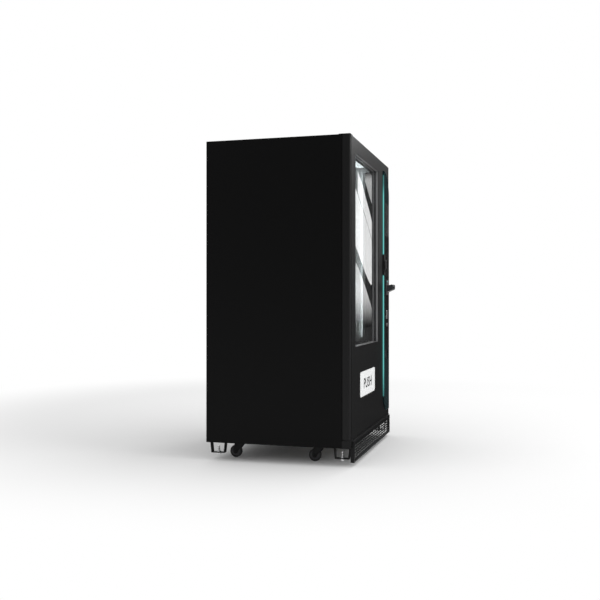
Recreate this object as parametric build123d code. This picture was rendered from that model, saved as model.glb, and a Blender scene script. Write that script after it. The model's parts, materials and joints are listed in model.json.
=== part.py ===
from build123d import *
import math
import os

# A snack vending machine on casters, in millimetres. The origin is on the floor under the middle of its
# whole box, +Z is up, the front faces -Y, and +X is to the right as seen from the front.

# Overall sizes
machine_width = 1290
machine_height = 1940
body_depth = 895
snout_reach = 60

# Sheet, wall and clearance sizes
skin = 1.5
liner_wall = 1.5
foam_wall = 37
overrun = 5
running_gap = 0.1
seat_gap = 0.3
loose_gap = 2.5

# Heights from the floor up
caster_height = 112
base_height = 46
door_foot_gap = 3
hinge_plate_thickness = 3
door_head_gap = 1
cooling_height = 142

# Door and rooms
door_thickness = 48
door_gap = 3
bay_width = 335
room_back_wall = 40

left = -machine_width / 2
right = machine_width / 2
door_front = snout_reach - (body_depth + snout_reach) / 2
back = door_front + body_depth
cabinet_front = door_front + door_thickness + door_gap
base_bottom = caster_height
deck_top = base_bottom + base_height
door_bottom = deck_top + door_foot_gap
cabinet_top = machine_height - hinge_plate_thickness
door_top = cabinet_top - door_head_gap
wall = skin + foam_wall + liner_wall
room_left = left + wall
bay_left = right - bay_width
room_right = bay_left - wall
room_top = cabinet_top - wall
room_back = back - room_back_wall
foam_floor_bottom = deck_top + cooling_height
room_floor = foam_floor_bottom + foam_wall + 2 * liner_wall


def depth_at(depth):
    return door_front + depth


def block(x_low, x_high, y_low, y_high, z_low, z_high):
    solid = Box(x_high - x_low, y_high - y_low, z_high - z_low)
    return Pos((x_low + x_high) / 2, (y_low + y_high) / 2, (z_low + z_high) / 2) * solid


def rod(start, direction, radius, length):
    plane = Plane(origin=start, z_dir=direction)
    return plane * Cylinder(radius, length, align=(Align.CENTER, Align.CENTER, Align.MIN))


def front_plate(x_low, x_high, z_low, z_high, y_low, thickness, corner_radius):
    plane = Plane(
        origin=((x_low + x_high) / 2, y_low, (z_low + z_high) / 2), x_dir=(1, 0, 0), z_dir=(0, 1, 0)
    )
    outline = plane * RectangleRounded(x_high - x_low, z_high - z_low, corner_radius)
    return extrude(outline, thickness)


def side_profile(x_low, thickness, points):
    outline = Plane(origin=(x_low, 0, 0), x_dir=(0, 1, 0), z_dir=(1, 0, 0)) * Polygon(*points, align=None)
    return extrude(outline, thickness)


def round_corner(solid, x, z, radius):
    edges = solid.edges().filter_by(Axis.Y)
    nearest = min(edges, key=lambda edge: math.hypot(edge.center().X - x, edge.center().Z - z))
    return fillet(nearest, radius)


def save(name, *solids):
    shape = solids[0] if len(solids) == 1 else Compound(children=list(solids))
    export_step(shape, "parts/" + name + ".step")


# Cabinet panels
panel_return = 32
vent_slot_width = 70
vent_slot_height = 7
vent_pitch_x = 92
vent_pitch_z = 18
vent_columns = 5
vent_rows = 6
vent_corner_share = 0.45
inlet_width = 48
inlet_height = 28
inlet_depth = 24
inlet_x = (bay_left + right) / 2
inlet_z = 255

vent_centre_z = deck_top + cooling_height / 2
left_side_panel = block(left, left + skin, cabinet_front, back, base_bottom, cabinet_top - skin)
save("left_side_panel", left_side_panel)

right_side_panel = block(right - skin, right, cabinet_front, back, base_bottom, cabinet_top - skin)
right_side_panel += block(
    right - panel_return, right, cabinet_front, cabinet_front + skin, deck_top, cabinet_top - skin
)
save("right_side_panel", right_side_panel)

top_panel = block(left, right, cabinet_front, back, cabinet_top - skin, cabinet_top)
save("top_panel", top_panel)

back_panel = block(left + skin, right - skin, back - skin, back, base_bottom, cabinet_top - skin)
vent_slots = []
for column in range(vent_columns):
    for row in range(vent_rows):
        slot_x = (room_left + room_right) / 2 + (column - (vent_columns - 1) / 2) * vent_pitch_x
        slot_z = vent_centre_z + (row - (vent_rows - 1) / 2) * vent_pitch_z
        vent_slots.append(
            front_plate(
                slot_x - vent_slot_width / 2, slot_x + vent_slot_width / 2,
                slot_z - vent_slot_height / 2, slot_z + vent_slot_height / 2,
                back - skin - overrun, skin + 2 * overrun, vent_slot_height * vent_corner_share,
            )
        )
back_panel -= vent_slots
back_panel -= block(
    inlet_x - inlet_width / 2 - seat_gap, inlet_x + inlet_width / 2 + seat_gap,
    back - skin - overrun, back + overrun,
    inlet_z - inlet_height / 2 - seat_gap, inlet_z + inlet_height / 2 + seat_gap,
)
save("back_panel", back_panel)

# Foam walls round the cold room, and the liner that they hold
foam_left = block(
    left + skin, room_left - liner_wall, cabinet_front + liner_wall, back - skin, deck_top, cabinet_top - skin
)
foam_divider = block(
    room_right + liner_wall, bay_left - skin, cabinet_front + liner_wall, back - skin,
    deck_top, cabinet_top - skin,
)
foam_head = block(
    room_left - liner_wall, room_right + liner_wall, cabinet_front + liner_wall, back - skin,
    room_top + liner_wall, cabinet_top - skin,
)
foam_floor = block(
    room_left - liner_wall, room_right + liner_wall, cabinet_front + liner_wall, back - skin,
    foam_floor_bottom, room_floor - liner_wall,
)
foam_back = block(
    room_left - liner_wall, room_right + liner_wall, room_back + liner_wall, back - skin,
    room_floor - liner_wall, room_top + liner_wall,
)
save("foam_walls", foam_left, foam_divider, foam_head, foam_floor, foam_back)

# Trays, from the lowest up
lane_count_by_tray = [5, 4, 4, 4]
bin_room_height = 382
tray_head_gap = 35
tray_sheet = 1.5
tray_front_depth = 205
tray_back_depth = 815
tray_side_gap = 2
tray_side_height = 46
divider_height = 42
price_rail_height = 38
motor_wall_depth = 745
motor_wall_headroom = 18
rail_width = 14
rail_height = 12

tray_front = depth_at(tray_front_depth)
tray_back = depth_at(tray_back_depth)
motor_wall = depth_at(motor_wall_depth)
tray_left = room_left + tray_side_gap
tray_right = room_right - tray_side_gap
lowest_tray_z = room_floor + bin_room_height
tray_pitch = (room_top - tray_head_gap - lowest_tray_z) / len(lane_count_by_tray)
tray_levels = [lowest_tray_z + level * tray_pitch for level in range(len(lane_count_by_tray))]

inner_liner = block(
    room_left - liner_wall, room_right + liner_wall, cabinet_front, room_back + liner_wall,
    room_floor - liner_wall, room_top + liner_wall,
)
inner_liner -= block(
    room_left, room_right, cabinet_front - overrun, room_back, room_floor, room_top
)
front_flange = block(
    left + skin, bay_left - skin, cabinet_front, cabinet_front + liner_wall, deck_top, cabinet_top - skin
)
front_flange -= block(
    room_left - liner_wall, room_right + liner_wall, cabinet_front - overrun, cabinet_front + overrun,
    deck_top - overrun, foam_floor_bottom,
)
front_flange -= block(
    room_left, room_right, cabinet_front - overrun, cabinet_front + overrun, room_floor, room_top
)
inner_liner += front_flange
for level_z in tray_levels:
    for rail_x in (room_left, room_right - rail_width):
        inner_liner += block(
            rail_x, rail_x + rail_width, tray_front, room_back, level_z - rail_height, level_z
        )
save("inner_liner", inner_liner)

# Spirals: a wire that leaves its drive disc, bends out to the coil's radius and winds towards the front
wire_radius = 2.5
wire_bend_radius = 14
coil_side_gap_by_lanes = {4: 32.875, 5: 25.1}
coil_turn_count_by_lanes = {4: 5, 5: 8}
coil_floor_gap = 2
coil_front_gap = 9
arc_count = 4
disc_radius = 15
disc_thickness = 10
disc_wall_gap = 1
drive_shaft_radius = 4
drive_shaft_length = 30
wire_start = 8
tail_length = 2 * wire_radius
samples_per_turn = 40
radii_apart = 10

coil_radius_by_lanes = {
    lanes: (tray_right - tray_left) / lanes / 2 - gap for lanes, gap in coil_side_gap_by_lanes.items()
}


def biarc(start, start_tangent, end, end_tangent):
    chord = end - start
    a = 2 * (1 - start_tangent.dot(end_tangent))
    b = 2 * chord.dot(start_tangent + end_tangent)
    c = -chord.dot(chord)
    reach = (math.sqrt(b * b - 4 * a * c) - b) / (2 * a)
    first_corner = start + start_tangent * reach
    second_corner = end - end_tangent * reach
    middle = (first_corner + second_corner) / 2
    return [
        Edge.make_tangent_arc(start, start_tangent, middle),
        Edge.make_tangent_arc(middle, second_corner - first_corner, end),
    ]


def coil_point(coil_radius, pitch, first_angle, first_y, angle):
    y = first_y - pitch * (angle - first_angle) / (2 * math.pi)
    return Vector(coil_radius * math.sin(angle), y, coil_radius * math.cos(angle))


def coil_tangent(coil_radius, pitch, angle):
    return Vector(
        coil_radius * math.cos(angle), -pitch / (2 * math.pi), -coil_radius * math.sin(angle)
    ).normalized()


def least_gap(wire_path, turns):
    samples = samples_per_turn * turns
    points = [wire_path @ (index / samples) for index in range(samples + 1)]
    spacing = wire_path.length / samples
    apart = int(radii_apart * wire_radius / spacing) + 1
    nearest = min(
        (points[one] - points[other]).length
        for one in range(samples + 1)
        for other in range(one + apart, samples + 1)
    )
    return nearest - 2 * wire_radius


def spiral(coil_radius, turns):
    # Its drive disc's back face is at the origin, and it winds towards -Y.
    front_length = motor_wall_depth - disc_wall_gap - tray_front_depth - coil_front_gap
    wire_y = -(disc_thickness + wire_start)
    radial_y = wire_y - wire_bend_radius
    pitch = (front_length + radial_y - 2 * wire_radius) / turns
    inner_radius = coil_radius - wire_bend_radius
    radial_end = math.sqrt(inner_radius ** 2 - wire_bend_radius ** 2)
    first_angle = math.asin(wire_bend_radius / inner_radius)
    flat_tangent = Vector(math.cos(first_angle), 0, -math.sin(first_angle))
    coil_start = coil_point(coil_radius, pitch, first_angle, radial_y, first_angle)
    edges = [
        Edge.make_line((0, -disc_thickness / 2, 0), (0, wire_y, 0)),
        Edge.make_tangent_arc((0, wire_y, 0), (0, -1, 0), (0, radial_y, wire_bend_radius)),
        Edge.make_line((0, radial_y, wire_bend_radius), (0, radial_y, radial_end)),
        Edge.make_tangent_arc((0, radial_y, radial_end), (0, 0, 1), coil_start),
    ]
    steps = arc_count * turns
    for step in range(steps):
        start_angle = first_angle + 2 * math.pi * step / arc_count
        end_angle = first_angle + 2 * math.pi * (step + 1) / arc_count
        start_tangent = flat_tangent if step == 0 else coil_tangent(coil_radius, pitch, start_angle)
        end_tangent = coil_tangent(coil_radius, pitch, end_angle)
        edges += biarc(
            coil_point(coil_radius, pitch, first_angle, radial_y, start_angle), start_tangent,
            coil_point(coil_radius, pitch, first_angle, radial_y, end_angle), end_tangent,
        )
    coil_end = coil_point(coil_radius, pitch, first_angle, radial_y, end_angle)
    edges.append(Edge.make_line(coil_end, coil_end + end_tangent * tail_length))
    wire_path = Wire(edges)
    section = Plane(origin=wire_path @ 0, z_dir=(0, -1, 0)) * Circle(wire_radius)
    wire = sweep(section, path=wire_path)
    expected = math.pi * wire_radius ** 2 * wire_path.length
    print("spiral of radius", coil_radius, "pitch", round(pitch, 1),
          "least gap", round(least_gap(wire_path, turns), 2), "volume share", round(wire.volume / expected, 4))
    disc = rod((0, 0, 0), (0, -1, 0), disc_radius, disc_thickness)
    shaft = rod((0, 0, 0), (0, 1, 0), drive_shaft_radius, drive_shaft_length)
    return disc + shaft + wire


def lane_centres(lanes):
    lane_width = (tray_right - tray_left) / lanes
    return [tray_left + lane_width * (lane + 0.5) for lane in range(lanes)]


def axis_height(level_z, coil_radius):
    return level_z + tray_sheet + coil_floor_gap + coil_radius + wire_radius


spiral_shapes = {
    lanes: spiral(radius, coil_turn_count_by_lanes[lanes]) for lanes, radius in coil_radius_by_lanes.items()
}

# Motors behind each tray's motor wall
motor_width = 52
motor_height = 74
motor_length = 48
motor_case_radius = 17
motor_case_length = 16

trays = []
motors = []
spiral_number = 0
for level_z, lanes in zip(tray_levels, lane_count_by_tray):
    coil_radius = coil_radius_by_lanes[lanes]
    axis_z = axis_height(level_z, coil_radius)
    motor_wall_top = axis_z + motor_height / 2 + motor_wall_headroom
    tray = block(tray_left, tray_right, tray_front, tray_back, level_z, level_z + tray_sheet)
    tray += block(
        tray_left, tray_right, tray_front, tray_front + tray_sheet, level_z, level_z + price_rail_height
    )
    tray += block(tray_left, tray_right, motor_wall, motor_wall + tray_sheet, level_z, motor_wall_top)
    for side_x in (tray_left, tray_right - tray_sheet):
        tray += block(
            side_x, side_x + tray_sheet, tray_front, tray_back, level_z, level_z + tray_side_height
        )
    lane_width = (tray_right - tray_left) / lanes
    for lane in range(1, lanes):
        divider_x = tray_left + lane_width * lane
        tray += block(
            divider_x - tray_sheet / 2, divider_x + tray_sheet / 2, tray_front, motor_wall + tray_sheet,
            level_z, level_z + divider_height,
        )
    for centre_x in lane_centres(lanes):
        tray -= rod(
            (centre_x, motor_wall - overrun, axis_z), (0, 1, 0),
            drive_shaft_radius + running_gap, tray_sheet + 2 * overrun,
        )
        motor = block(
            centre_x - motor_width / 2, centre_x + motor_width / 2,
            motor_wall + tray_sheet, motor_wall + tray_sheet + motor_length,
            axis_z - motor_height / 2, axis_z + motor_height / 2,
        )
        motor += rod(
            (centre_x, motor_wall + tray_sheet + motor_length, axis_z + motor_height / 4 - motor_case_radius),
            (0, 1, 0), motor_case_radius, motor_case_length,
        )
        motor -= rod(
            (centre_x, motor_wall, axis_z), (0, 1, 0),
            drive_shaft_radius + running_gap, drive_shaft_length + running_gap,
        )
        motors.append(motor)
        spiral_number += 1
        placed = Pos(centre_x, motor_wall - disc_wall_gap, axis_z) * spiral_shapes[lanes]
        save("spiral_" + str(spiral_number), placed)
    trays.append(tray)
save("product_trays", *trays)
save("spiral_motors", *motors)

# Delivery bin under the trays
bin_sheet = 2
bin_front_depth = 71
bin_floor_depth = 235
bin_back_depth = 300
bin_lip_height = 30
bin_side_gap = 3
bin_back_top_gap = 30

bin_left = room_left + bin_side_gap
bin_right = room_right - bin_side_gap
bin_floor_top = room_floor + bin_sheet
bin_back_top = lowest_tray_z - bin_back_top_gap
delivery_bin = side_profile(
    bin_left, bin_right - bin_left,
    [
        (depth_at(bin_front_depth), room_floor),
        (depth_at(bin_floor_depth) + bin_sheet, room_floor),
        (depth_at(bin_back_depth) + bin_sheet, bin_back_top),
        (depth_at(bin_back_depth), bin_back_top),
        (depth_at(bin_floor_depth), bin_floor_top),
        (depth_at(bin_front_depth) + bin_sheet, bin_floor_top),
        (depth_at(bin_front_depth) + bin_sheet, room_floor + bin_lip_height),
        (depth_at(bin_front_depth), room_floor + bin_lip_height),
    ],
)
for cheek_x in (bin_left, bin_right - bin_sheet):
    delivery_bin += side_profile(
        cheek_x, bin_sheet,
        [
            (depth_at(bin_front_depth), room_floor),
            (depth_at(bin_floor_depth), room_floor),
            (depth_at(bin_back_depth), bin_back_top),
            (depth_at(bin_front_depth), bin_back_top),
        ],
    )
save("delivery_bin", delivery_bin)

# Base frame of box beams under a deck
beam_wall = 3
beam_width = 90
caster_beam_width = 120
plinth_depth = door_thickness + door_gap
deck_sheet = 2
deck_vent_width = 420
deck_vent_front_depth = 190
deck_vent_back_depth = 400
caster_inset = 168


def box_beam(x_low, x_high, y_low, y_high):
    beam = block(x_low, x_high, y_low, y_high, base_bottom, deck_top - deck_sheet)
    return beam - block(
        x_low + beam_wall, x_high - beam_wall, y_low + beam_wall, y_high - beam_wall,
        base_bottom + beam_wall, deck_top - deck_sheet - beam_wall,
    )


frame_left = left + skin
frame_right = right - skin
frame_back = back - skin
beam_front = cabinet_front + beam_width
beam_back = frame_back - beam_width
caster_x = right - caster_inset
base_frame = block(left, right, door_front, cabinet_front, deck_top - deck_sheet, deck_top)
base_frame += block(frame_left, frame_right, cabinet_front, frame_back, deck_top - deck_sheet, deck_top)
base_frame += box_beam(left, right, door_front, cabinet_front)
base_frame += box_beam(frame_left, frame_right, cabinet_front, beam_front)
base_frame += box_beam(frame_left, frame_right, beam_back, frame_back)
for beam_x in (frame_left, frame_right - beam_width):
    base_frame += box_beam(beam_x, beam_x + beam_width, beam_front, beam_back)
for side in (-1, 1):
    beam_x = side * caster_x - caster_beam_width / 2
    base_frame += box_beam(beam_x, beam_x + caster_beam_width, beam_front, beam_back)
deck_vent_x = (room_left + room_right) / 2
base_frame -= block(
    deck_vent_x - deck_vent_width / 2, deck_vent_x + deck_vent_width / 2,
    depth_at(deck_vent_front_depth), depth_at(deck_vent_back_depth),
    deck_top - deck_sheet - overrun, deck_top + overrun,
)

# Door hinges: an upper plate on the cabinet's top and a pin on the plinth
hinge_pin_radius = 5
hinge_pin_length = 30
hinge_side_inset = 12
hinge_front_inset = 12
hinge_plate_width = 66
hinge_plate_depth = 70
hinge_corner_radius = 4
lower_plate_thickness = 2
lower_plate_width = 60
lower_plate_depth = 36
hinge_x = left + hinge_side_inset
hinge_y = door_front + hinge_front_inset

upper_hinge = block(
    left, left + hinge_plate_width, door_front, depth_at(hinge_plate_depth), cabinet_top, machine_height
)
upper_hinge = fillet(
    upper_hinge.edges().filter_by(Axis.Z).sort_by(Axis.Y)[:2], hinge_corner_radius
)
upper_hinge += rod((hinge_x, hinge_y, machine_height), (0, 0, -1), hinge_pin_radius, hinge_pin_length)
lower_hinge = block(
    left, left + lower_plate_width, door_front, door_front + lower_plate_depth,
    deck_top, deck_top + lower_plate_thickness,
)
lower_hinge += rod((hinge_x, hinge_y, deck_top), (0, 0, 1), hinge_pin_radius, hinge_pin_length)
save("door_hinges", upper_hinge, lower_hinge)
save("base_frame", base_frame)

# Kick plate: a folded and slotted sheet ahead of the plinth
kick_inset = 37
kick_bottom = 26
kick_top = 150
kick_proud = 13
kick_flange_back = 8
kick_slot_length = 48
kick_slot_height = 7
kick_slot_pitch_x = 62
kick_slot_pitch_z = 16
kick_slot_columns = 19
kick_slot_rows = 7

kick_left = left + kick_inset
kick_right = right - kick_inset
kick_front = door_front - kick_proud
kick_plate = block(kick_left, kick_right, kick_front, kick_front + skin, kick_bottom, kick_top)
kick_plate += block(kick_left, kick_right, kick_front, door_front, kick_top - skin, kick_top)
kick_plate += block(
    kick_left, kick_right, kick_front, depth_at(kick_flange_back), kick_bottom, kick_bottom + skin
)
for flange_x in (kick_left, kick_right - skin):
    kick_plate += block(flange_x, flange_x + skin, kick_front, door_front, kick_bottom, kick_top)
    kick_plate += block(
        flange_x, flange_x + skin, door_front, depth_at(kick_flange_back), kick_bottom, base_bottom
    )
kick_slots = []
for column in range(kick_slot_columns):
    for row in range(kick_slot_rows):
        slot_x = (column - (kick_slot_columns - 1) / 2) * kick_slot_pitch_x
        slot_z = (kick_bottom + kick_top) / 2 + (row - (kick_slot_rows - 1) / 2) * kick_slot_pitch_z
        kick_slots.append(
            block(
                slot_x - kick_slot_length / 2, slot_x + kick_slot_length / 2,
                kick_front - overrun, kick_front + skin + overrun / 2,
                slot_z - kick_slot_height / 2, slot_z + kick_slot_height / 2,
            )
        )
kick_plate -= kick_slots
save("kick_plate", kick_plate)

# Levelling feet in bent brackets under the corners
foot_inset = 65
front_foot_depth = 62
rear_foot_depth = 838
bracket_strip = 4
bracket_width = 40
bracket_top_length = 98
bracket_foot_length = 84
bracket_flange = 8
bracket_bottom = 42
stud_radius = 8
stud_top = 84
pad_radius = 12
pad_bottom = 33
pad_thickness = 8
pad_chamfer = 2

# Casters that swivel on a king pin
front_swivel_depth = 227
rear_swivel_depth = 734
caster_trail = 28
caster_plate_length = 96
caster_plate_width = 78
caster_plate_thickness = 4
race_radius = 26
race_thickness = 8
king_pin_radius = 6
king_pin_length = 16
king_nut_radius = 11
king_nut_thickness = 5
fork_top_radius = 29
fork_top_thickness = 7
fork_gap = 0.5
fork_leg = 3
fork_leg_top_length = 50
fork_boss_radius = 15
wheel_radius = 37.5
wheel_width = 26
wheel_hub_width = 31
wheel_edge_radius = 6
wheel_side_gap = 1
axle_radius = 5

supports = []
feet = []
for side in (-1, 1):
    foot_x = side * (right - foot_inset)
    for foot_depth in (front_foot_depth, rear_foot_depth):
        foot_y = depth_at(foot_depth)
        strip_left = foot_x - bracket_width / 2
        top_half = bracket_top_length / 2
        low_half = bracket_foot_length / 2
        bracket = side_profile(
            strip_left, bracket_width,
            [
                (foot_y - top_half - bracket_flange, base_bottom),
                (foot_y - top_half - bracket_flange, base_bottom - bracket_strip),
                (foot_y - top_half, base_bottom - bracket_strip),
                (foot_y - low_half, bracket_bottom),
                (foot_y + low_half, bracket_bottom),
                (foot_y + top_half, base_bottom - bracket_strip),
                (foot_y + top_half + bracket_flange, base_bottom - bracket_strip),
                (foot_y + top_half + bracket_flange, base_bottom),
                (foot_y + top_half - bracket_strip, base_bottom),
                (foot_y + low_half - bracket_strip, bracket_bottom + bracket_strip),
                (foot_y - low_half + bracket_strip, bracket_bottom + bracket_strip),
                (foot_y - top_half + bracket_strip, base_bottom),
            ],
        )
        bracket -= rod(
            (foot_x, foot_y, bracket_bottom - overrun), (0, 0, 1),
            stud_radius + running_gap, bracket_strip + 2 * overrun,
        )
        supports.append(bracket)
        pad = rod((foot_x, foot_y, pad_bottom), (0, 0, 1), pad_radius, pad_thickness)
        pad = chamfer(pad.edges().filter_by(GeomType.CIRCLE).sort_by(Axis.Z)[-1], pad_chamfer)
        stud = rod(
            (foot_x, foot_y, pad_bottom), (0, 0, 1), stud_radius, stud_top - pad_bottom
        )
        feet.append(pad + stud)
for number, foot in enumerate(feet, 1):
    save("levelling_foot_" + str(number), foot)


def caster_wheel(x, y):
    # A rounded tread with a wider hub, turned about the axle's line
    half_tread = wheel_width / 2
    half_hub = wheel_hub_width / 2
    hub_radius = wheel_radius / 2
    tread = rod((x - half_tread, y, wheel_radius), (1, 0, 0), wheel_radius, wheel_width)
    tread = fillet(tread.edges().filter_by(GeomType.CIRCLE), wheel_edge_radius)
    hub = rod((x - half_hub, y, wheel_radius), (1, 0, 0), hub_radius, wheel_hub_width)
    bore = rod(
        (x - wheel_hub_width, y, wheel_radius), (1, 0, 0), axle_radius + running_gap, 2 * wheel_hub_width
    )
    return tread + hub - bore


race_bottom = base_bottom - caster_plate_thickness - race_thickness
fork_top_z = race_bottom - fork_gap
casters = []
for side in (-1, 1):
    for swivel_depth in (front_swivel_depth, rear_swivel_depth):
        swivel_x = side * caster_x
        swivel_y = depth_at(swivel_depth)
        axle_y = swivel_y + caster_trail
        plate = block(
            swivel_x - caster_plate_width / 2, swivel_x + caster_plate_width / 2,
            swivel_y - caster_plate_length / 2, swivel_y + caster_plate_length / 2,
            base_bottom - caster_plate_thickness, base_bottom,
        )
        plate += rod((swivel_x, swivel_y, race_bottom), (0, 0, 1), race_radius, race_thickness)
        plate += rod((swivel_x, swivel_y, race_bottom), (0, 0, -1), king_pin_radius, king_pin_length)
        nut_top = race_bottom - 2 * fork_gap - fork_top_thickness
        plate += rod((swivel_x, swivel_y, nut_top), (0, 0, -1), king_nut_radius, king_nut_thickness)
        supports.append(plate)
        fork = rod(
            (swivel_x, swivel_y, fork_top_z), (0, 0, -1), fork_top_radius, fork_top_thickness
        )
        fork -= rod(
            (swivel_x, swivel_y, fork_top_z + overrun), (0, 0, -1),
            king_pin_radius + running_gap, fork_top_thickness + 2 * overrun,
        )
        leg_inner = wheel_hub_width / 2 + wheel_side_gap
        leg_top = fork_top_z - fork_top_thickness
        for leg_x in (swivel_x - leg_inner - fork_leg, swivel_x + leg_inner):
            leg = side_profile(
                leg_x, fork_leg,
                [
                    (swivel_y - fork_leg_top_length / 2, fork_top_z),
                    (swivel_y - fork_leg_top_length / 2, leg_top),
                    (axle_y - fork_boss_radius, wheel_radius),
                    (axle_y + fork_boss_radius, wheel_radius),
                    (swivel_y + fork_leg_top_length / 2, leg_top),
                    (swivel_y + fork_leg_top_length / 2, fork_top_z),
                ],
            )
            leg += rod((leg_x, axle_y, wheel_radius), (1, 0, 0), fork_boss_radius, fork_leg)
            fork += leg
        fork += rod(
            (swivel_x - leg_inner - 2 * fork_leg, axle_y, wheel_radius), (1, 0, 0),
            axle_radius, 2 * leg_inner + 4 * fork_leg,
        )
        casters.append((fork, caster_wheel(swivel_x, axle_y)))
for number, (fork, wheel) in enumerate(casters, 1):
    save("caster_fork_" + str(number), fork)
    save("caster_wheel_" + str(number), wheel)
save("support_brackets", *supports)

# Cooling unit: compressor, condenser, fan shroud and the evaporator in the cold room
compressor_radius = 68
compressor_height = 118
compressor_corner_share = 0.4
compressor_x = room_left + 140
compressor_depth = 640
condenser_width = 300
condenser_thickness = 40
condenser_height = 128
condenser_depth = 100
shroud_thickness = 42
shroud_radius = 58
fan_radius = 54
fan_hub_radius = 16
fan_blades = 7
blade_root_share = 0.8
blade_width_share = 0.9
blade_thickness = 3
blade_angle = 32
fan_motor_radius = 20
fan_motor_length = 46
fan_shaft_radius = 3
fan_shaft_length = 20
fan_gap = 2
evaporator_width = 620
evaporator_front_depth = 470
evaporator_back_depth = 800
evaporator_height = 200
evaporator_wall = 3

condenser_x = deck_vent_x
condenser_y = depth_at(condenser_depth)
shroud_y = condenser_y + condenser_thickness
fan_z = deck_top + condenser_height / 2
compressor = rod(
    (compressor_x, depth_at(compressor_depth), deck_top), (0, 0, 1), compressor_radius, compressor_height
)
compressor = fillet(
    compressor.edges().filter_by(GeomType.CIRCLE).sort_by(Axis.Z)[-1], compressor_radius * compressor_corner_share
)
condenser = block(
    condenser_x - condenser_width / 2, condenser_x + condenser_width / 2, condenser_y, shroud_y,
    deck_top, deck_top + condenser_height,
)
shroud = block(
    condenser_x - condenser_width / 2, condenser_x + condenser_width / 2,
    shroud_y, shroud_y + shroud_thickness, deck_top, deck_top + condenser_height,
)
shroud -= rod(
    (condenser_x, shroud_y - overrun, fan_z), (0, 1, 0), shroud_radius, shroud_thickness + 2 * overrun
)
fan_motor_y = shroud_y + shroud_thickness - fan_gap
fan_motor = rod((condenser_x, fan_motor_y, fan_z), (0, 1, 0), fan_motor_radius, fan_motor_length)
fan_motor -= rod(
    (condenser_x, fan_motor_y - overrun, fan_z), (0, 1, 0),
    fan_shaft_radius + running_gap, fan_shaft_length + overrun,
)
fan_motor += block(
    condenser_x - condenser_width / 2, condenser_x + condenser_width / 2,
    shroud_y + shroud_thickness, shroud_y + shroud_thickness + beam_wall,
    fan_z - fan_motor_radius / 2, fan_z + fan_motor_radius / 2,
) - rod((condenser_x, shroud_y, fan_z), (0, 1, 0), fan_motor_radius - fan_gap, beam_width)
evaporator = block(
    condenser_x - evaporator_width / 2, condenser_x + evaporator_width / 2,
    depth_at(evaporator_front_depth), depth_at(evaporator_back_depth),
    room_floor, room_floor + evaporator_height,
)
evaporator -= block(
    condenser_x - evaporator_width / 2 + evaporator_wall, condenser_x + evaporator_width / 2 - evaporator_wall,
    depth_at(evaporator_front_depth) - overrun, depth_at(evaporator_back_depth) + overrun,
    room_floor + evaporator_wall, room_floor + evaporator_height - evaporator_wall,
)
save("cooling_unit", compressor, condenser, shroud, fan_motor, evaporator)

fan_front = shroud_y + fan_gap
fan_depth = shroud_thickness - 3 * fan_gap
fan = rod((condenser_x, fan_front, fan_z), (0, 1, 0), fan_hub_radius, fan_depth)
fan += rod(
    (condenser_x, fan_front, fan_z), (0, 1, 0), fan_shaft_radius, fan_depth + fan_gap + fan_shaft_length / 2
)
blade_length = fan_radius - fan_hub_radius * blade_root_share
blade = Box(fan_depth * blade_width_share, blade_thickness, blade_length)
for number in range(fan_blades):
    turned = Rot(0, 0, 90 - blade_angle) * blade
    lifted = Pos(0, 0, fan_radius - blade_length / 2) * turned
    fan += Pos(condenser_x, fan_front + fan_depth / 2, fan_z) * Rot(0, 360 * number / fan_blades, 0) * lifted
fan = fan & rod((condenser_x, fan_front, fan_z), (0, 1, 0), fan_radius, 2 * fan_depth)
save("condenser_fan", fan)

# Electronics in the bay behind the control panel
control_box_depth = 90
control_box_bottom = 900
control_box_height = 320
supply_box_depth = 130
supply_box_bottom = 420
supply_box_height = 150
bay_box_length = 420
bay_box_front_depth = 300
bay_box_wall = 3
inlet_flange = 6
socket_wall = 5

bay_skin = block(bay_left - skin, bay_left, cabinet_front, back - skin, deck_top, cabinet_top - skin)
bay_box_front = depth_at(bay_box_front_depth)
bay_boxes = []
for box_depth, box_bottom, box_height in (
    (control_box_depth, control_box_bottom, control_box_height),
    (supply_box_depth, supply_box_bottom, supply_box_height),
):
    bay_boxes.append(
        block(
            bay_left, bay_left + box_depth, bay_box_front, bay_box_front + bay_box_length,
            box_bottom, box_bottom + box_height,
        ) - block(
            bay_left + bay_box_wall, bay_left + box_depth - bay_box_wall,
            bay_box_front + bay_box_wall, bay_box_front + bay_box_length - bay_box_wall,
            box_bottom + bay_box_wall, box_bottom + box_height - bay_box_wall,
        )
    )
power_inlet = block(
    inlet_x - inlet_width / 2, inlet_x + inlet_width / 2, back - inlet_depth, back,
    inlet_z - inlet_height / 2, inlet_z + inlet_height / 2,
)
power_inlet += block(
    inlet_x - inlet_width / 2 - inlet_flange, inlet_x + inlet_width / 2 + inlet_flange,
    back - skin - skin, back - skin, inlet_z - inlet_height / 2 - inlet_flange,
    inlet_z + inlet_height / 2 + inlet_flange,
)
power_inlet -= block(
    inlet_x - inlet_width / 2 + 2 * socket_wall, inlet_x + inlet_width / 2 - 2 * socket_wall,
    back - inlet_depth + socket_wall, back + overrun,
    inlet_z - inlet_height / 2 + socket_wall, inlet_z + inlet_height / 2 - socket_wall,
)
save("bay_electronics", bay_skin, *bay_boxes, power_inlet)

# Door openings
window_left = room_left + 101
window_right = room_right - 35
window_bottom = lowest_tray_z - 26
window_top = room_top - 47
frame_rim = 12
glass_depth = 46
pane = 4
pane_space = 8
glass_bite = 10
flap_left = room_left + 241
flap_right = room_right - 150
flap_bottom = room_floor + 36
flap_top = room_floor + 191
flap_corner = 20
flap_recess = 3
flap_thickness = 5
flap_hinge_drop = 8
flap_pin_radius = 3
flap_pin_length = 10
edge_radius = 12
door_edge_radius = 2
groove_inset = 24
groove_width = 8
groove_depth = 3

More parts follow.
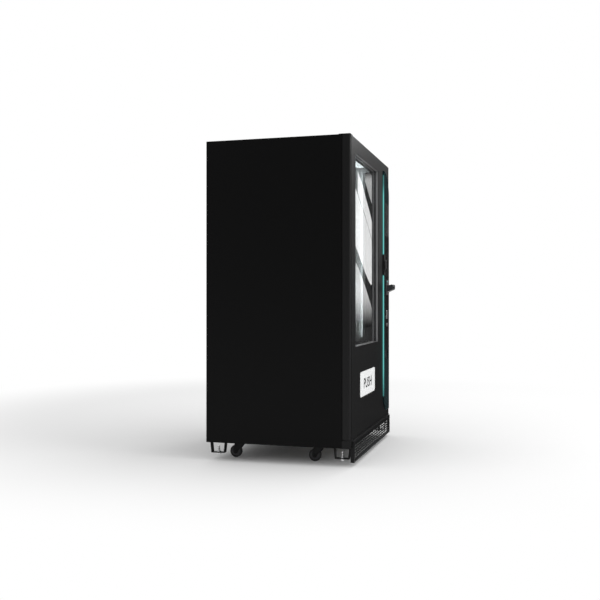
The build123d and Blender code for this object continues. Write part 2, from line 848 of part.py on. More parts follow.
# Control panel on the door, its light strips and what sits in it
panel_side_margin = 32
panel_width = 208
panel_bottom = 197
panel_head_margin = 57
panel_proud = 7
panel_head_radius = 165
panel_foot_radius = 120
strip_width = 8
strip_head_margin = 29
upper_strip_length = 554
lock_space = 148
strip_foot_margin = 106
strip_gap = 0.2
screen_width = 142
screen_height = 236
screen_head_margin = 334
screen_thickness = 5
screen_corner = 6
screen_proud = 0.8
lock_width = 40
lock_corner = 12
lock_proud = 9
lock_barrel_radius = 13
lock_handle_length = 64
lock_handle_width = 18
lock_handle_thickness = 8
lock_handle_corner_share = 0.4
lock_shaft_radius = 7
lock_shaft_length = 34
lock_lift = 1
acceptor_side_margin = 98
acceptor_drop = 101.5
acceptor_height = 107
acceptor_width = 110
acceptor_corner = 8
bezel_proud = 8
acceptor_body_width = 92
acceptor_body_back_depth = 150
acceptor_body_rise = 78
snout_width = 96
snout_root_rise = 15
snout_root_height = 47
snout_tip_rise = 40
snout_tip_height = 37
snout_corner = 9
note_slot_width = 74
note_slot_height = 6
note_slot_rise = 50
note_slot_reach = 40
button_side_margin = 91
button_z = 800
button_radius = 12
button_proud = 4
button_length = 16
button_travel = 4
cup_width = 92
cup_bottom = 560
cup_height = 62
cup_pocket_depth = 44
cup_flap_thickness = 3
cup_pin_radius = 2
cup_pin_length = 5
cup_hinge_drop = 5
cup_flap_gap = 1

panel_right = right - panel_side_margin
panel_left = panel_right - panel_width
panel_top = door_top - panel_head_margin
upper_strip_top = panel_top - strip_head_margin
upper_strip_bottom = upper_strip_top - upper_strip_length
lower_strip_top = upper_strip_bottom - lock_space
lower_strip_bottom = panel_bottom + strip_foot_margin
screen_centre_z = panel_top - screen_head_margin
screen_bottom = screen_centre_z - screen_height / 2
acceptor_bottom = (screen_bottom + button_z) / 2 - acceptor_drop
acceptor_x = panel_right - acceptor_side_margin
acceptor_top = acceptor_bottom + acceptor_height
snout_root_bottom = acceptor_bottom + snout_root_rise
snout_root_top = snout_root_bottom + snout_root_height
snout_tip_bottom = acceptor_bottom + snout_tip_rise
snout_tip_top = snout_tip_bottom + snout_tip_height
note_slot_bottom = acceptor_bottom + note_slot_rise
button_x = panel_right - button_side_margin
cup_top = cup_bottom + cup_height
panel_front = door_front - panel_proud
core_front = door_front + skin
core_back = door_front + door_thickness - skin
panel_mid_x = (panel_left + strip_width + panel_right) / 2
lock_x = panel_left + strip_width + lock_width / 2
lock_z = (lower_strip_top + upper_strip_bottom) / 2


def window_cut(margin, y_low, y_high):
    return block(
        window_left - margin, window_right + margin, y_low, y_high, window_bottom - margin, window_top + margin
    )


def flap_cut(margin):
    return front_plate(
        flap_left - margin, flap_right + margin, flap_bottom - margin, flap_top + margin,
        door_front - overrun, 2 * door_thickness, flap_corner + margin,
    )


def door_block(inset, y_low, y_high):
    solid = block(left + inset, right - inset, y_low, y_high, door_bottom + inset, door_top - inset)
    corners = solid.edges().filter_by(Axis.Z).sort_by(Axis.Y)[:2]
    return fillet(corners, edge_radius - inset)


def panel_cuts(margin, y_low, y_high):
    # The holes behind the control panel that its fittings pass through
    acceptor_cut = block(
        acceptor_x - acceptor_body_width / 2 - margin, acceptor_x + acceptor_body_width / 2 + margin,
        y_low, y_high, acceptor_bottom - margin, acceptor_top + acceptor_body_rise + margin,
    )
    lock_cut = rod((lock_x, y_low, lock_z), (0, 1, 0), lock_barrel_radius + margin, y_high - y_low)
    return [acceptor_cut, lock_cut]


door_back = depth_at(door_thickness)
groove_blocks = []
groove_cuts = []
for groove_x in (left + groove_inset, right - groove_inset - groove_width):
    groove_blocks.append(
        block(
            groove_x - skin, groove_x + groove_width + skin, door_front, core_front + groove_depth,
            door_bottom + skin, door_top - skin,
        )
    )
    groove_cuts.append(
        block(
            groove_x, groove_x + groove_width, door_front - overrun, door_front + groove_depth,
            door_bottom - overrun, door_top + overrun,
        )
    )
hinge_bores = [
    rod(
        (hinge_x, hinge_y, machine_height + overrun), (0, 0, -1),
        hinge_pin_radius + running_gap, hinge_pin_length + 2 * overrun,
    ),
    rod(
        (hinge_x, hinge_y, deck_top - overrun), (0, 0, 1),
        hinge_pin_radius + running_gap, hinge_pin_length + 2 * overrun,
    ),
]
button_bore = rod(
    (button_x, door_front - panel_proud - overrun, button_z), (0, 1, 0),
    button_radius + seat_gap, overrun + button_length + button_travel + loose_gap,
)
cup_pocket = block(
    panel_mid_x - cup_width / 2, panel_mid_x + cup_width / 2, panel_front - overrun,
    door_front + cup_pocket_depth, cup_bottom, cup_top,
)

door_shell = door_block(0, door_front, door_back)
door_shell -= door_block(skin, core_front, door_back + overrun)
door_shell += groove_blocks
door_shell -= groove_cuts
door_shell -= [window_cut(0, door_front - overrun, door_back), flap_cut(loose_gap)]
door_shell -= hinge_bores + panel_cuts(skin, door_front - overrun, core_front + overrun)
door_shell -= [button_bore, cup_pocket]

flap_axis_y = door_front + flap_recess + flap_thickness / 2
flap_axis_z = flap_top - flap_hinge_drop
cup_axis_y = door_front + cup_flap_thickness / 2
cup_axis_z = cup_top - cup_hinge_drop
flap_bore = rod(
    (flap_left - flap_pin_length, flap_axis_y, flap_axis_z), (1, 0, 0),
    flap_pin_radius + running_gap, flap_right - flap_left + 2 * flap_pin_length,
)
cup_bore = rod(
    (panel_mid_x - cup_width / 2 - cup_pin_length, cup_axis_y, cup_axis_z), (1, 0, 0),
    cup_pin_radius + running_gap, cup_width + 2 * cup_pin_length,
)

door_shell -= cup_bore
save("door_shell", door_shell)

# The foam core, as the blocks that it is cut from
core_left = left + skin
core_right = right - skin
core_bottom = door_bottom + skin
core_top = door_top - skin
pane_left = window_left - frame_rim
pane_right = window_right + frame_rim
pane_bottom = window_bottom - frame_rim
pane_top = window_top + frame_rim
mouth_left = flap_left - loose_gap
mouth_right = flap_right + loose_gap
mouth_bottom = flap_bottom - loose_gap
mouth_top = flap_top + loose_gap
cup_left = panel_mid_x - cup_width / 2
cup_right = panel_mid_x + cup_width / 2
body_left = acceptor_x - acceptor_body_width / 2 - skin
body_right = acceptor_x + acceptor_body_width / 2 + skin
body_bottom = acceptor_bottom - skin
body_top = acceptor_top + acceptor_body_rise + skin
core_blocks = [
    (core_left, pane_left, core_bottom, core_top),
    (pane_left, pane_right, pane_top, core_top),
    (pane_left, pane_right, mouth_top, pane_bottom),
    (pane_left, mouth_left, mouth_bottom, mouth_top),
    (mouth_right, pane_right, mouth_bottom, mouth_top),
    (pane_left, pane_right, core_bottom, mouth_bottom),
    (pane_right, panel_left, core_bottom, core_top),
    (panel_left, core_right, core_bottom, cup_bottom),
    (panel_left, cup_left, cup_bottom, cup_top),
    (cup_right, core_right, cup_bottom, cup_top),
    (cup_left, cup_right, cup_bottom, cup_top),
    (panel_left, core_right, cup_top, body_bottom),
    (panel_left, body_left, body_bottom, body_top),
    (body_right, core_right, body_bottom, body_top),
    (panel_left, core_right, body_top, core_top),
]
core_outline = door_block(skin, core_front, core_back)
core_cuts = groove_blocks + hinge_bores + panel_cuts(skin, door_front, door_back)
core_cuts += [button_bore, cup_pocket, cup_bore, flap_bore]
door_core = []
for x_low, x_high, z_low, z_high in core_blocks:
    door_core.append((core_outline & block(x_low, x_high, core_front, core_back, z_low, z_high)) - core_cuts)
save("door_core", *door_core)

# Door lining: the back sheet, and the plug that enters the cold room's mouth
plug_gap = 8
plug_floor_gap = 10
plug_depth = 18
glass_back_depth = glass_depth + 2 * pane + pane_space
plug_back = depth_at(door_thickness + plug_depth)
door_lining = block(left + skin, right - skin, core_back, door_back, door_bottom + skin, door_top - skin)
door_lining += block(
    room_left + plug_gap, room_right - plug_gap, core_back, plug_back,
    room_floor + plug_floor_gap, room_top - plug_gap,
)
door_lining -= [
    window_cut(frame_rim, core_back - overrun, depth_at(glass_back_depth)),
    window_cut(0, core_back, plug_back + overrun),
    flap_cut(loose_gap),
]
door_lining -= panel_cuts(skin, core_back - overrun, plug_back + overrun) + hinge_bores
save("door_lining", door_lining)

# Window frame with its step and groove, the spacer between the panes, and the two panes
frame_groove_depth = 20
frame_groove_width = 7
frame_groove_cut = 3
frame_front_step = 3
window_frame = window_cut(frame_rim, core_front, depth_at(glass_depth))
window_frame -= window_cut(0, door_front - overrun, door_back)
window_frame -= window_cut(
    frame_groove_cut, depth_at(frame_groove_depth), depth_at(frame_groove_depth + frame_groove_width)
)
window_frame -= window_cut(frame_groove_cut, door_front, depth_at(frame_front_step))
spacer = window_cut(glass_bite, depth_at(glass_depth + pane), depth_at(glass_depth + pane + pane_space))
spacer -= window_cut(0, door_front, back)
save("window_frame", window_frame, spacer)
front_pane = window_cut(glass_bite, depth_at(glass_depth), depth_at(glass_depth + pane))
rear_pane = window_cut(glass_bite, depth_at(glass_back_depth - pane), depth_at(glass_back_depth))
save("window_glass", front_pane, rear_pane)

# Gasket on the lining, round the cold room's mouth
gasket_width = 18
gasket_inset = 5
gasket_left = room_left - gasket_inset - gasket_width
gasket_right = room_right + gasket_inset + gasket_width
gasket_bottom = room_floor - gasket_inset - gasket_width
gasket_top = room_top + gasket_inset + gasket_width
door_gasket = block(
    gasket_left, gasket_right, door_back, cabinet_front - seat_gap, gasket_bottom, gasket_top
)
door_gasket -= block(
    gasket_left + gasket_width, gasket_right - gasket_width, door_back - overrun, cabinet_front + overrun,
    gasket_bottom + gasket_width, gasket_top - gasket_width,
)
save("door_gasket", door_gasket)

# Control panel with one large round corner at the head and one at the foot
control_panel = block(panel_left, panel_right, panel_front, door_front, panel_bottom, panel_top)
control_panel = round_corner(control_panel, panel_right, panel_top, panel_head_radius)
control_panel = round_corner(control_panel, panel_left, panel_bottom, panel_foot_radius)
for strip_low, strip_high in (
    (lower_strip_bottom, lower_strip_top), (upper_strip_bottom, upper_strip_top)
):
    control_panel -= block(
        panel_left - overrun, panel_left + strip_width + strip_gap, panel_front - overrun, door_front + overrun,
        strip_low - strip_gap, strip_high + strip_gap,
    )
control_panel -= front_plate(
    panel_left - overrun, panel_left + strip_width + lock_width,
    lower_strip_top + strip_gap, upper_strip_bottom - strip_gap,
    panel_front - overrun, panel_proud + 2 * overrun, overrun / 2,
)
control_panel -= front_plate(
    panel_mid_x - screen_width / 2, panel_mid_x + screen_width / 2,
    screen_centre_z - screen_height / 2, screen_centre_z + screen_height / 2,
    panel_front - overrun, screen_thickness + overrun - screen_proud, screen_corner,
)
control_panel -= block(
    acceptor_x - acceptor_body_width / 2 - skin, acceptor_x + acceptor_body_width / 2 + skin,
    panel_front - overrun, door_front + overrun, acceptor_bottom + skin, acceptor_top - skin,
)
control_panel -= [button_bore, cup_pocket, cup_bore]
save("control_panel", control_panel)

strips = []
for strip_low, strip_high in (
    (lower_strip_bottom, lower_strip_top), (upper_strip_bottom, upper_strip_top)
):
    strips.append(
        block(panel_left, panel_left + strip_width, panel_front, door_front, strip_low, strip_high)
    )
save("light_strips", *strips)

touch_screen = front_plate(
    panel_mid_x - screen_width / 2 + strip_gap, panel_mid_x + screen_width / 2 - strip_gap,
    screen_centre_z - screen_height / 2 + strip_gap, screen_centre_z + screen_height / 2 - strip_gap,
    panel_front - screen_proud, screen_thickness, screen_corner - strip_gap,
)
save("touch_screen", touch_screen)

# Note acceptor: a bezel, an upturned snout with its slot, and the body behind the door
bezel = front_plate(
    acceptor_x - acceptor_width / 2, acceptor_x + acceptor_width / 2, acceptor_bottom, acceptor_top,
    panel_front - bezel_proud, bezel_proud, acceptor_corner,
)
snout = side_profile(
    acceptor_x - snout_width / 2, snout_width,
    [
        (panel_front, snout_root_bottom),
        (panel_front, snout_root_top),
        (door_front - snout_reach, snout_tip_top),
        (door_front - snout_reach, snout_tip_bottom),
    ],
)
snout = fillet(snout.edges().filter_by(Axis.X).sort_by(Axis.Y)[:2], snout_corner)
note_slot = block(
    acceptor_x - note_slot_width / 2, acceptor_x + note_slot_width / 2,
    door_front - snout_reach - overrun, door_front - snout_reach + note_slot_reach,
    note_slot_bottom, note_slot_bottom + note_slot_height,
)
acceptor_body = block(
    acceptor_x - acceptor_body_width / 2, acceptor_x + acceptor_body_width / 2,
    panel_front - bezel_proud / 2, depth_at(acceptor_body_back_depth), acceptor_bottom + 2 * skin,
    acceptor_top - 2 * skin,
)
acceptor_body += block(
    acceptor_x - acceptor_body_width / 2, acceptor_x + acceptor_body_width / 2,
    core_front, depth_at(acceptor_body_back_depth), acceptor_bottom + 2 * skin,
    acceptor_top + acceptor_body_rise,
)
save("note_acceptor", bezel + snout + acceptor_body - note_slot)

# Lock: a housing set in the panel's edge, and the handle that turns in it
lock_housing = front_plate(
    panel_left, panel_left + strip_width + lock_width - seat_gap, lower_strip_top + 2 * strip_gap,
    upper_strip_bottom - 2 * strip_gap, door_front - lock_proud, lock_proud, lock_corner,
)
lock_housing += rod(
    (lock_x, door_front, lock_z), (0, 1, 0), lock_barrel_radius, door_thickness - 2 * skin
)
lock_housing -= rod(
    (lock_x, door_front - lock_proud - overrun, lock_z), (0, 1, 0),
    lock_shaft_radius + running_gap, lock_proud + overrun + lock_shaft_length + lock_lift,
)
save("lock_housing", lock_housing)
handle_back = door_front - lock_proud - lock_lift
lock_handle = front_plate(
    lock_x - lock_handle_width / 2, lock_x + lock_handle_width / 2,
    lock_z - lock_handle_length / 2, lock_z + lock_handle_length / 2,
    handle_back - lock_handle_thickness, lock_handle_thickness, lock_handle_width * lock_handle_corner_share,
)
lock_handle += rod((lock_x, handle_back, lock_z), (0, 1, 0), lock_shaft_radius, lock_shaft_length)
save("lock_handle", lock_handle)

coin_button = rod(
    (button_x, panel_front - button_proud, button_z), (0, 1, 0), button_radius, button_length
)
coin_button = fillet(
    coin_button.edges().filter_by(GeomType.CIRCLE).sort_by(Axis.Y)[0], button_proud / 4
)
save("coin_button", coin_button)

coin_cup_flap = block(
    panel_mid_x - cup_width / 2 + cup_flap_gap, panel_mid_x + cup_width / 2 - cup_flap_gap,
    door_front, door_front + cup_flap_thickness, cup_bottom + cup_flap_gap, cup_top - cup_flap_gap,
)
coin_cup_flap += rod(
    (panel_mid_x - cup_width / 2 - cup_pin_length + cup_flap_gap, cup_axis_y, cup_axis_z), (1, 0, 0),
    cup_pin_radius, cup_width + 2 * cup_pin_length - 2 * cup_flap_gap,
)
save("coin_cup_flap", coin_cup_flap)

delivery_flap = front_plate(
    flap_left, flap_right, flap_bottom, flap_top, door_front + flap_recess, flap_thickness, flap_corner
)
delivery_flap += rod(
    (flap_left - flap_pin_length + seat_gap, flap_axis_y, flap_axis_z), (1, 0, 0),
    flap_pin_radius, flap_right - flap_left + 2 * flap_pin_length - 2 * seat_gap,
)
save("delivery_flap", delivery_flap)
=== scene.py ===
import bpy
import json
import math
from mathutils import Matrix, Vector


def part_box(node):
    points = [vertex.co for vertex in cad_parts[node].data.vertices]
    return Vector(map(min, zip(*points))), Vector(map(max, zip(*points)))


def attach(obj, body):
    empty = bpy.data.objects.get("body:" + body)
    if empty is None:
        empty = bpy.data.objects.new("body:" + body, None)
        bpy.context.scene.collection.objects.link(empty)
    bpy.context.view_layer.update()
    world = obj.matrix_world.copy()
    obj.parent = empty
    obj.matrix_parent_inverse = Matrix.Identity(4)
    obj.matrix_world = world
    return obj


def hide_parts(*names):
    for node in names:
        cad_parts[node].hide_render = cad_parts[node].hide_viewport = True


# Finish and detail for a snack vending machine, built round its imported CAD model. Lengths are in metres.
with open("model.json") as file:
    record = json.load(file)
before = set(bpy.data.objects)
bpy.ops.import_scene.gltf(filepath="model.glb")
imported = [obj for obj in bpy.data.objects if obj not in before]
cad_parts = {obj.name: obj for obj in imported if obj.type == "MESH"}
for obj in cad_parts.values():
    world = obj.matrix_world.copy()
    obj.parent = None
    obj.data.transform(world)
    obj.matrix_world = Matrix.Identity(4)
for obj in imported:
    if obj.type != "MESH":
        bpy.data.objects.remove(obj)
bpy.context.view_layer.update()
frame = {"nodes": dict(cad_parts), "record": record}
nodes = frame["nodes"]
bodyOfNode = {
    node: body for body, members in frame["record"]["behaviour"]["bodies"].items() for node in members
}
print("CAD loaded:", len(nodes), "nodes")


# ---- working helpers
def deselectAll():
    bpy.ops.object.select_all(action="DESELECT")


def activate(piece):
    deselectAll()
    piece.select_set(True)
    bpy.context.view_layer.objects.active = piece


def settle(piece):
    # place, turn and size go into the mesh, as in a CAD node
    activate(piece)
    bpy.ops.object.transform_apply(location=True, rotation=True, scale=True)
    return piece


def setMode(mode):
    bpy.ops.object.mode_set(mode=mode)


def selectAll():
    bpy.ops.mesh.select_all(action="SELECT")


def smoothPiece(piece, angle):
    activate(piece)
    bpy.ops.object.shade_smooth_by_angle(angle=angle)


def applyModifier(piece, kind, **values):
    activate(piece)
    modifier = piece.modifiers.new(kind, kind)
    for key, value in values.items():
        setattr(modifier, key, value)
    bpy.ops.object.modifier_apply(modifier=modifier.name)


def addBlock(name, low, high):
    deselectAll()
    middle = [(low[axis] + high[axis]) / 2 for axis in range(3)]
    bpy.ops.mesh.primitive_cube_add(size=1, location=middle)
    piece = bpy.context.object
    piece.name = name
    piece.scale = [high[axis] - low[axis] for axis in range(3)]
    return settle(piece)


def addRod(name, start, end, radius, sides=32, topRadius=None):
    deselectAll()
    start, end = Vector(start), Vector(end)
    bpy.ops.mesh.primitive_cone_add(
        vertices=sides, radius1=radius, radius2=radius if topRadius is None else topRadius,
        depth=(end - start).length, location=(start + end) / 2,
    )
    piece = bpy.context.object
    piece.name = name
    piece.rotation_mode = "QUATERNION"
    piece.rotation_quaternion = (end - start).to_track_quat("Z", "Y")
    return settle(piece)


def rodAlong(axis, name, middle, start, end, radius, sides, topRadius=None):
    # a rod along one axis of the frame, on the line through the middle
    first, last = list(middle), list(middle)
    first["XYZ".index(axis)], last["XYZ".index(axis)] = start, end
    return addRod(name, first, last, radius, sides, topRadius)


def addPlate(name, points, low, thickness, axis="X"):
    # a flat outline, moved point by point into place and then extruded
    deselectAll()
    bpy.ops.mesh.primitive_circle_add(vertices=len(points), radius=1, fill_type="NGON")
    piece = bpy.context.object
    piece.name = name
    for vertex, (first, second) in zip(piece.data.vertices, points):
        vertex.co = (low, first, second) if axis == "X" else (first, low, second)
    step = (thickness, 0, 0) if axis == "X" else (0, thickness, 0)
    setMode("EDIT")
    selectAll()
    bpy.ops.mesh.extrude_region_move(TRANSFORM_OT_translate={"value": step})
    selectAll()
    bpy.ops.mesh.normals_make_consistent(inside=False)
    setMode("OBJECT")
    return piece


def roundEdges(piece, width, segments=2, angle=0.6):
    applyModifier(piece, "BEVEL", width=width, segments=segments, limit_method="ANGLE", angle_limit=angle)
    smoothPiece(piece, angle)
    return piece


def weighNormals(piece):
    # large flat faces stay flat beside their rounded edges
    applyModifier(piece, "WEIGHTED_NORMAL", keep_sharp=True)


def selectFaces(piece, chooser):
    # face select by place or normal, then edit mode
    activate(piece)
    setMode("EDIT")
    bpy.ops.mesh.select_mode(type="FACE")
    bpy.ops.mesh.select_all(action="DESELECT")
    setMode("OBJECT")
    for face in piece.data.polygons:
        face.select = chooser(face)
    setMode("EDIT")


def insetFaces(piece, chooser, thickness, depth):
    selectFaces(piece, chooser)
    bpy.ops.mesh.inset(thickness=thickness, depth=depth)
    setMode("OBJECT")


def joinPieces(name, pieces):
    activate(pieces[0])
    for piece in pieces:
        piece.select_set(True)
    bpy.ops.object.join()
    joined = bpy.context.object
    joined.name = name
    joined.data.name = name
    return joined


def cutPiece(piece, cutters):
    for cutter in cutters:
        applyModifier(piece, "BOOLEAN", operation="DIFFERENCE", solver="EXACT", object=cutter)
        bpy.data.objects.remove(cutter)


def copyMoved(piece, name, offset):
    activate(piece)
    bpy.ops.object.duplicate(linked=False)
    twin = bpy.context.object
    twin.name = name
    twin.location = offset
    return settle(twin)


def setPiece(piece, finishName, body, stoodFor=()):
    piece.data.materials.clear()
    piece.data.materials.append(finishes[finishName])
    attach(piece, body)
    if stoodFor:
        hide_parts(*stoodFor)
    return piece


def standFor(nodeName, piece, finishName):
    # the piece takes the place of a CAD node
    return setPiece(piece, finishName, bodyOfNode[nodeName], [nodeName])


def middleOf(nodeName):
    low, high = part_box(nodeName)
    return (low + high) / 2


meshLook = {"mergeGap": 0.00001, "flatAngle": 0.01}


def refineNode(nodeName, width, finishName, segments=2):
    # a merged copy of the CAD node with soft edges stands for it
    source = nodes[nodeName]
    deselectAll()
    piece = bpy.data.objects.new(nodeName + "_finish", source.data.copy())
    bpy.context.scene.collection.objects.link(piece)
    activate(piece)
    setMode("EDIT")
    selectAll()
    bpy.ops.mesh.remove_doubles(threshold=meshLook["mergeGap"])
    bpy.ops.mesh.dissolve_limited(angle_limit=meshLook["flatAngle"])
    setMode("OBJECT")
    roundEdges(piece, width, segments)
    weighNormals(piece)
    return standFor(nodeName, piece, finishName)


def roundedOutline(xLow, xHigh, zLow, zHigh, radius, steps=6):
    points = []
    corners = (
        (xHigh - radius, zHigh - radius, 0), (xLow + radius, zHigh - radius, 90),
        (xLow + radius, zLow + radius, 180), (xHigh - radius, zLow + radius, 270),
    )
    for middleX, middleZ, start in corners:
        for step in range(steps + 1):
            turn = math.radians(start + 90 * step / steps)
            points.append((middleX + radius * math.cos(turn), middleZ + radius * math.sin(turn)))
    return points


# ---- materials
def setValues(node, values):
    for key, value in values.items():
        if key in node.inputs:
            node.inputs[key].default_value = value
        else:
            setattr(node, key, value)


def addNode(owner, kind, values=None):
    node = owner.node_tree.nodes.new(kind)
    setValues(node, values or {})
    return node


def link(owner, source, output, target, socket):
    owner.node_tree.links.new(source.outputs[output], target.inputs[socket])


def mapRange(owner, low, high, first=0.0, last=1.0, kind="LINEAR"):
    return addNode(owner, "ShaderNodeMapRange", {
        "From Min": low, "From Max": high, "To Min": first, "To Max": last, "interpolation_type": kind,
    })


def startMaterial(name, colour, roughness, metallic=0.0, specular=0.5, coat=0.0):
    material = bpy.data.materials.new(name)
    material.use_nodes = True
    shader = material.node_tree.nodes["Principled BSDF"]
    setValues(shader, {
        "Base Color": (*colour, 1), "Roughness": roughness, "Metallic": metallic,
        "Specular IOR Level": specular, "Coat Weight": coat,
    })
    return material, shader


def addGrain(material, shader, scale, depth, strength=1.0, detail=3.0, stretch=(1, 1, 1)):
    coordinates = addNode(material, "ShaderNodeTexCoord")
    mapping = addNode(material, "ShaderNodeMapping", {"Scale": stretch})
    noise = addNode(material, "ShaderNodeTexNoise", {"Scale": scale, "Detail": detail})
    bump = addNode(material, "ShaderNodeBump", {"Strength": strength, "Distance": depth})
    link(material, coordinates, "Object", mapping, "Vector")
    link(material, mapping, "Vector", noise, "Vector")
    link(material, noise, "Fac", bump, "Height")
    link(material, bump, "Normal", shader, "Normal")
    return coordinates


# where the noise starts and ends, and its detail, in changes of gloss and of colour
noiseLook = {"low": 0.35, "high": 0.65, "glossDetail": 4.0, "colourDetail": 5.0}


def varyRoughness(material, shader, coordinates, scale, low, high):
    look = noiseLook
    noise = addNode(material, "ShaderNodeTexNoise", {"Scale": scale, "Detail": look["glossDetail"]})
    spread = mapRange(material, look["low"], look["high"], low, high)
    link(material, coordinates, "Object", noise, "Vector")
    link(material, noise, "Fac", spread, "Value")
    link(material, spread, "Result", shader, "Roughness")


def addRamp(material, stops, interpolation="LINEAR"):
    ramp = addNode(material, "ShaderNodeValToRGB")
    ramp.color_ramp.interpolation = interpolation
    while len(ramp.color_ramp.elements) < len(stops):
        ramp.color_ramp.elements.new(0.5)
    for element, (place, colour) in zip(ramp.color_ramp.elements, stops):
        element.position = place
        element.color = (*colour, 1)
    return ramp


def varyColour(material, shader, coordinates, scale, first, second):
    look = noiseLook
    noise = addNode(material, "ShaderNodeTexNoise", {"Scale": scale, "Detail": look["colourDetail"]})
    ramp = addRamp(material, ((look["low"], first), (look["high"], second)))
    link(material, coordinates, "Object", noise, "Vector")
    link(material, noise, "Fac", ramp, "Fac")
    link(material, ramp, "Color", shader, "Base Color")


paintLook = {"grain": 0.35, "glossScale": 90.0, "colourScale": 60.0, "darker": 0.96}


def paintFinish(name, colour, spread, roughness, specular, grainScale=700.0, grainDepth=0.00012):
    # sprayed or powder-coated sheet: fine orange peel, slight gloss changes
    look = paintLook
    material, shader = startMaterial(name, colour, roughness, specular=specular)
    coordinates = addGrain(material, shader, grainScale, grainDepth, strength=look["grain"])
    varyRoughness(material, shader, coordinates, look["glossScale"], roughness - spread, roughness + spread)
    darker = tuple(part * look["darker"] for part in colour)
    varyColour(material, shader, coordinates, look["colourScale"], darker, colour)
    return material


metalLook = {"grain": 0.5, "glossScale": 20.0, "smoother": 0.8, "rougher": 1.25}


def metalFinish(name, colour, roughness, stretch, grainScale=300.0, grainDepth=0.00005):
    look = metalLook
    material, shader = startMaterial(name, colour, roughness, metallic=1.0)
    coordinates = addGrain(material, shader, grainScale, grainDepth, strength=look["grain"], stretch=stretch)
    low, high = roughness * look["smoother"], roughness * look["rougher"]
    varyRoughness(material, shader, coordinates, look["glossScale"], low, high)
    return material


plasticLook = {"grain": 0.4, "glossScale": 14.0, "smoother": 0.85, "rougher": 1.15}


def plasticFinish(name, colour, roughness, grainScale=1200.0, grainDepth=0.00008, specular=0.5):
    look = plasticLook
    material, shader = startMaterial(name, colour, roughness, specular=specular)
    coordinates = addGrain(material, shader, grainScale, grainDepth, strength=look["grain"])
    low, high = roughness * look["smoother"], roughness * look["rougher"]
    varyRoughness(material, shader, coordinates, look["glossScale"], low, high)
    return material


# colour first, then the values of the finish maker in their order
paints = {
    "cabinetBlack": ((0.0026, 0.0026, 0.0027), 0.02, 0.5, 0.11),
    "doorBlack": ((0.0065, 0.0065, 0.0067), 0.02, 0.46, 0.215),
    "partBlack": ((0.0065, 0.0065, 0.0067), 0.02, 0.45, 0.2),
    "linerWhite": ((0.78, 0.79, 0.80), 0.05, 0.4, 0.4, 300.0),
    "trayWhite": ((0.70, 0.71, 0.72), 0.05, 0.42, 0.45, 500.0),
    "binBlack": ((0.02, 0.02, 0.021), 0.06, 0.5, 0.4),
    "doorInnerBlack": ((0.004, 0.004, 0.0042), 0.05, 0.65, 0.05),
    "coatedSheet": ((0.45, 0.46, 0.47), 0.05, 0.45, 0.4),
}
metals = {
    "wireSteel": ((0.74, 0.75, 0.77), 0.22, (1, 1, 1)),
    "brightZinc": ((0.93, 0.93, 0.93), 0.2, (1, 1, 6)),
    "zincSteel": ((0.78, 0.79, 0.80), 0.3, (1, 1, 6)),
    "finAluminium": ((0.72, 0.73, 0.75), 0.35, (1, 1, 8)),
    "darkSteel": ((0.16, 0.16, 0.165), 0.34, (1, 6, 1)),
}
plastics = {
    "motorPlastic": ((0.05, 0.05, 0.055), 0.45),
    "casePlastic": ((0.30, 0.31, 0.33), 0.45),
    "fanPlastic": ((0.025, 0.025, 0.028), 0.4),
    "snoutPlastic": ((0.028, 0.028, 0.031), 0.36),
    "wheelRubber": ((0.016, 0.016, 0.017), 0.55, 800.0, 0.0002, 0.4),
    "gasketRubber": ((0.018, 0.018, 0.019), 0.6, 900.0, 0.0001, 0.35),
    "flapWhite": ((0.86, 0.87, 0.87), 0.16, 60.0, 0.00002),
    "letterBlack": ((0.01, 0.01, 0.011), 0.3, 500.0, 0.00002, 0.3),
    "foamCream": ((0.72, 0.66, 0.48), 0.9, 400.0, 0.0008, 0.1),
}
finishes = {}
for makeFinish, rows in ((paintFinish, paints), (metalFinish, metals), (plasticFinish, plastics)):
    for name, values in rows.items():
        finishes[name] = makeFinish(name, *values)


glassLook = {"body": (0.955, 0.972, 0.966), "guardIndex": 1.52, "coatedIndex": 1.04}


def glassFinish(name, refraction):
    # clear sheet with a slight green body
    material, shader = startMaterial(name, glassLook["body"], 0.0)
    setValues(shader, {"Transmission Weight": 1.0, "IOR": refraction})
    return material


def screenFinish():
    # dark display behind hard gloss
    material, shader = startMaterial("screenGloss", (0.006, 0.0065, 0.0075), 0.06, coat=1.0)
    coordinates = addGrain(material, shader, 25.0, 0.00002, strength=0.2)
    varyRoughness(material, shader, coordinates, 40.0, 0.05, 0.1)
    return material


def rampAlong(material, shader, socket, axis, stops, interpolation):
    # a colour that follows one axis of the machine's frame
    low, high = stops[0][0], stops[-1][0]
    coordinates = addNode(material, "ShaderNodeTexCoord")
    split = addNode(material, "ShaderNodeSeparateXYZ")
    spread = mapRange(material, low, high)
    shares = [((place - low) / (high - low), colour) for place, colour in stops]
    ramp = addRamp(material, shares, interpolation)
    link(material, coordinates, "Object", split, "Vector")
    link(material, split, axis, spread, "Value")
    link(material, spread, "Result", ramp, "Fac")
    link(material, ramp, "Color", shader, socket)


doorFrontY = -0.4175
linerWhite = (0.78, 0.79, 0.80)
# the teal colour is the light strips' glow, painted onto the ends of the control panel
paintedTealGlow, smokedPlain = (0.0042, 0.0135, 0.0155), (0.0032, 0.0034, 0.0036)
stripTeal, stripFaint = (0.085, 0.34, 0.32), (0.012, 0.05, 0.048)

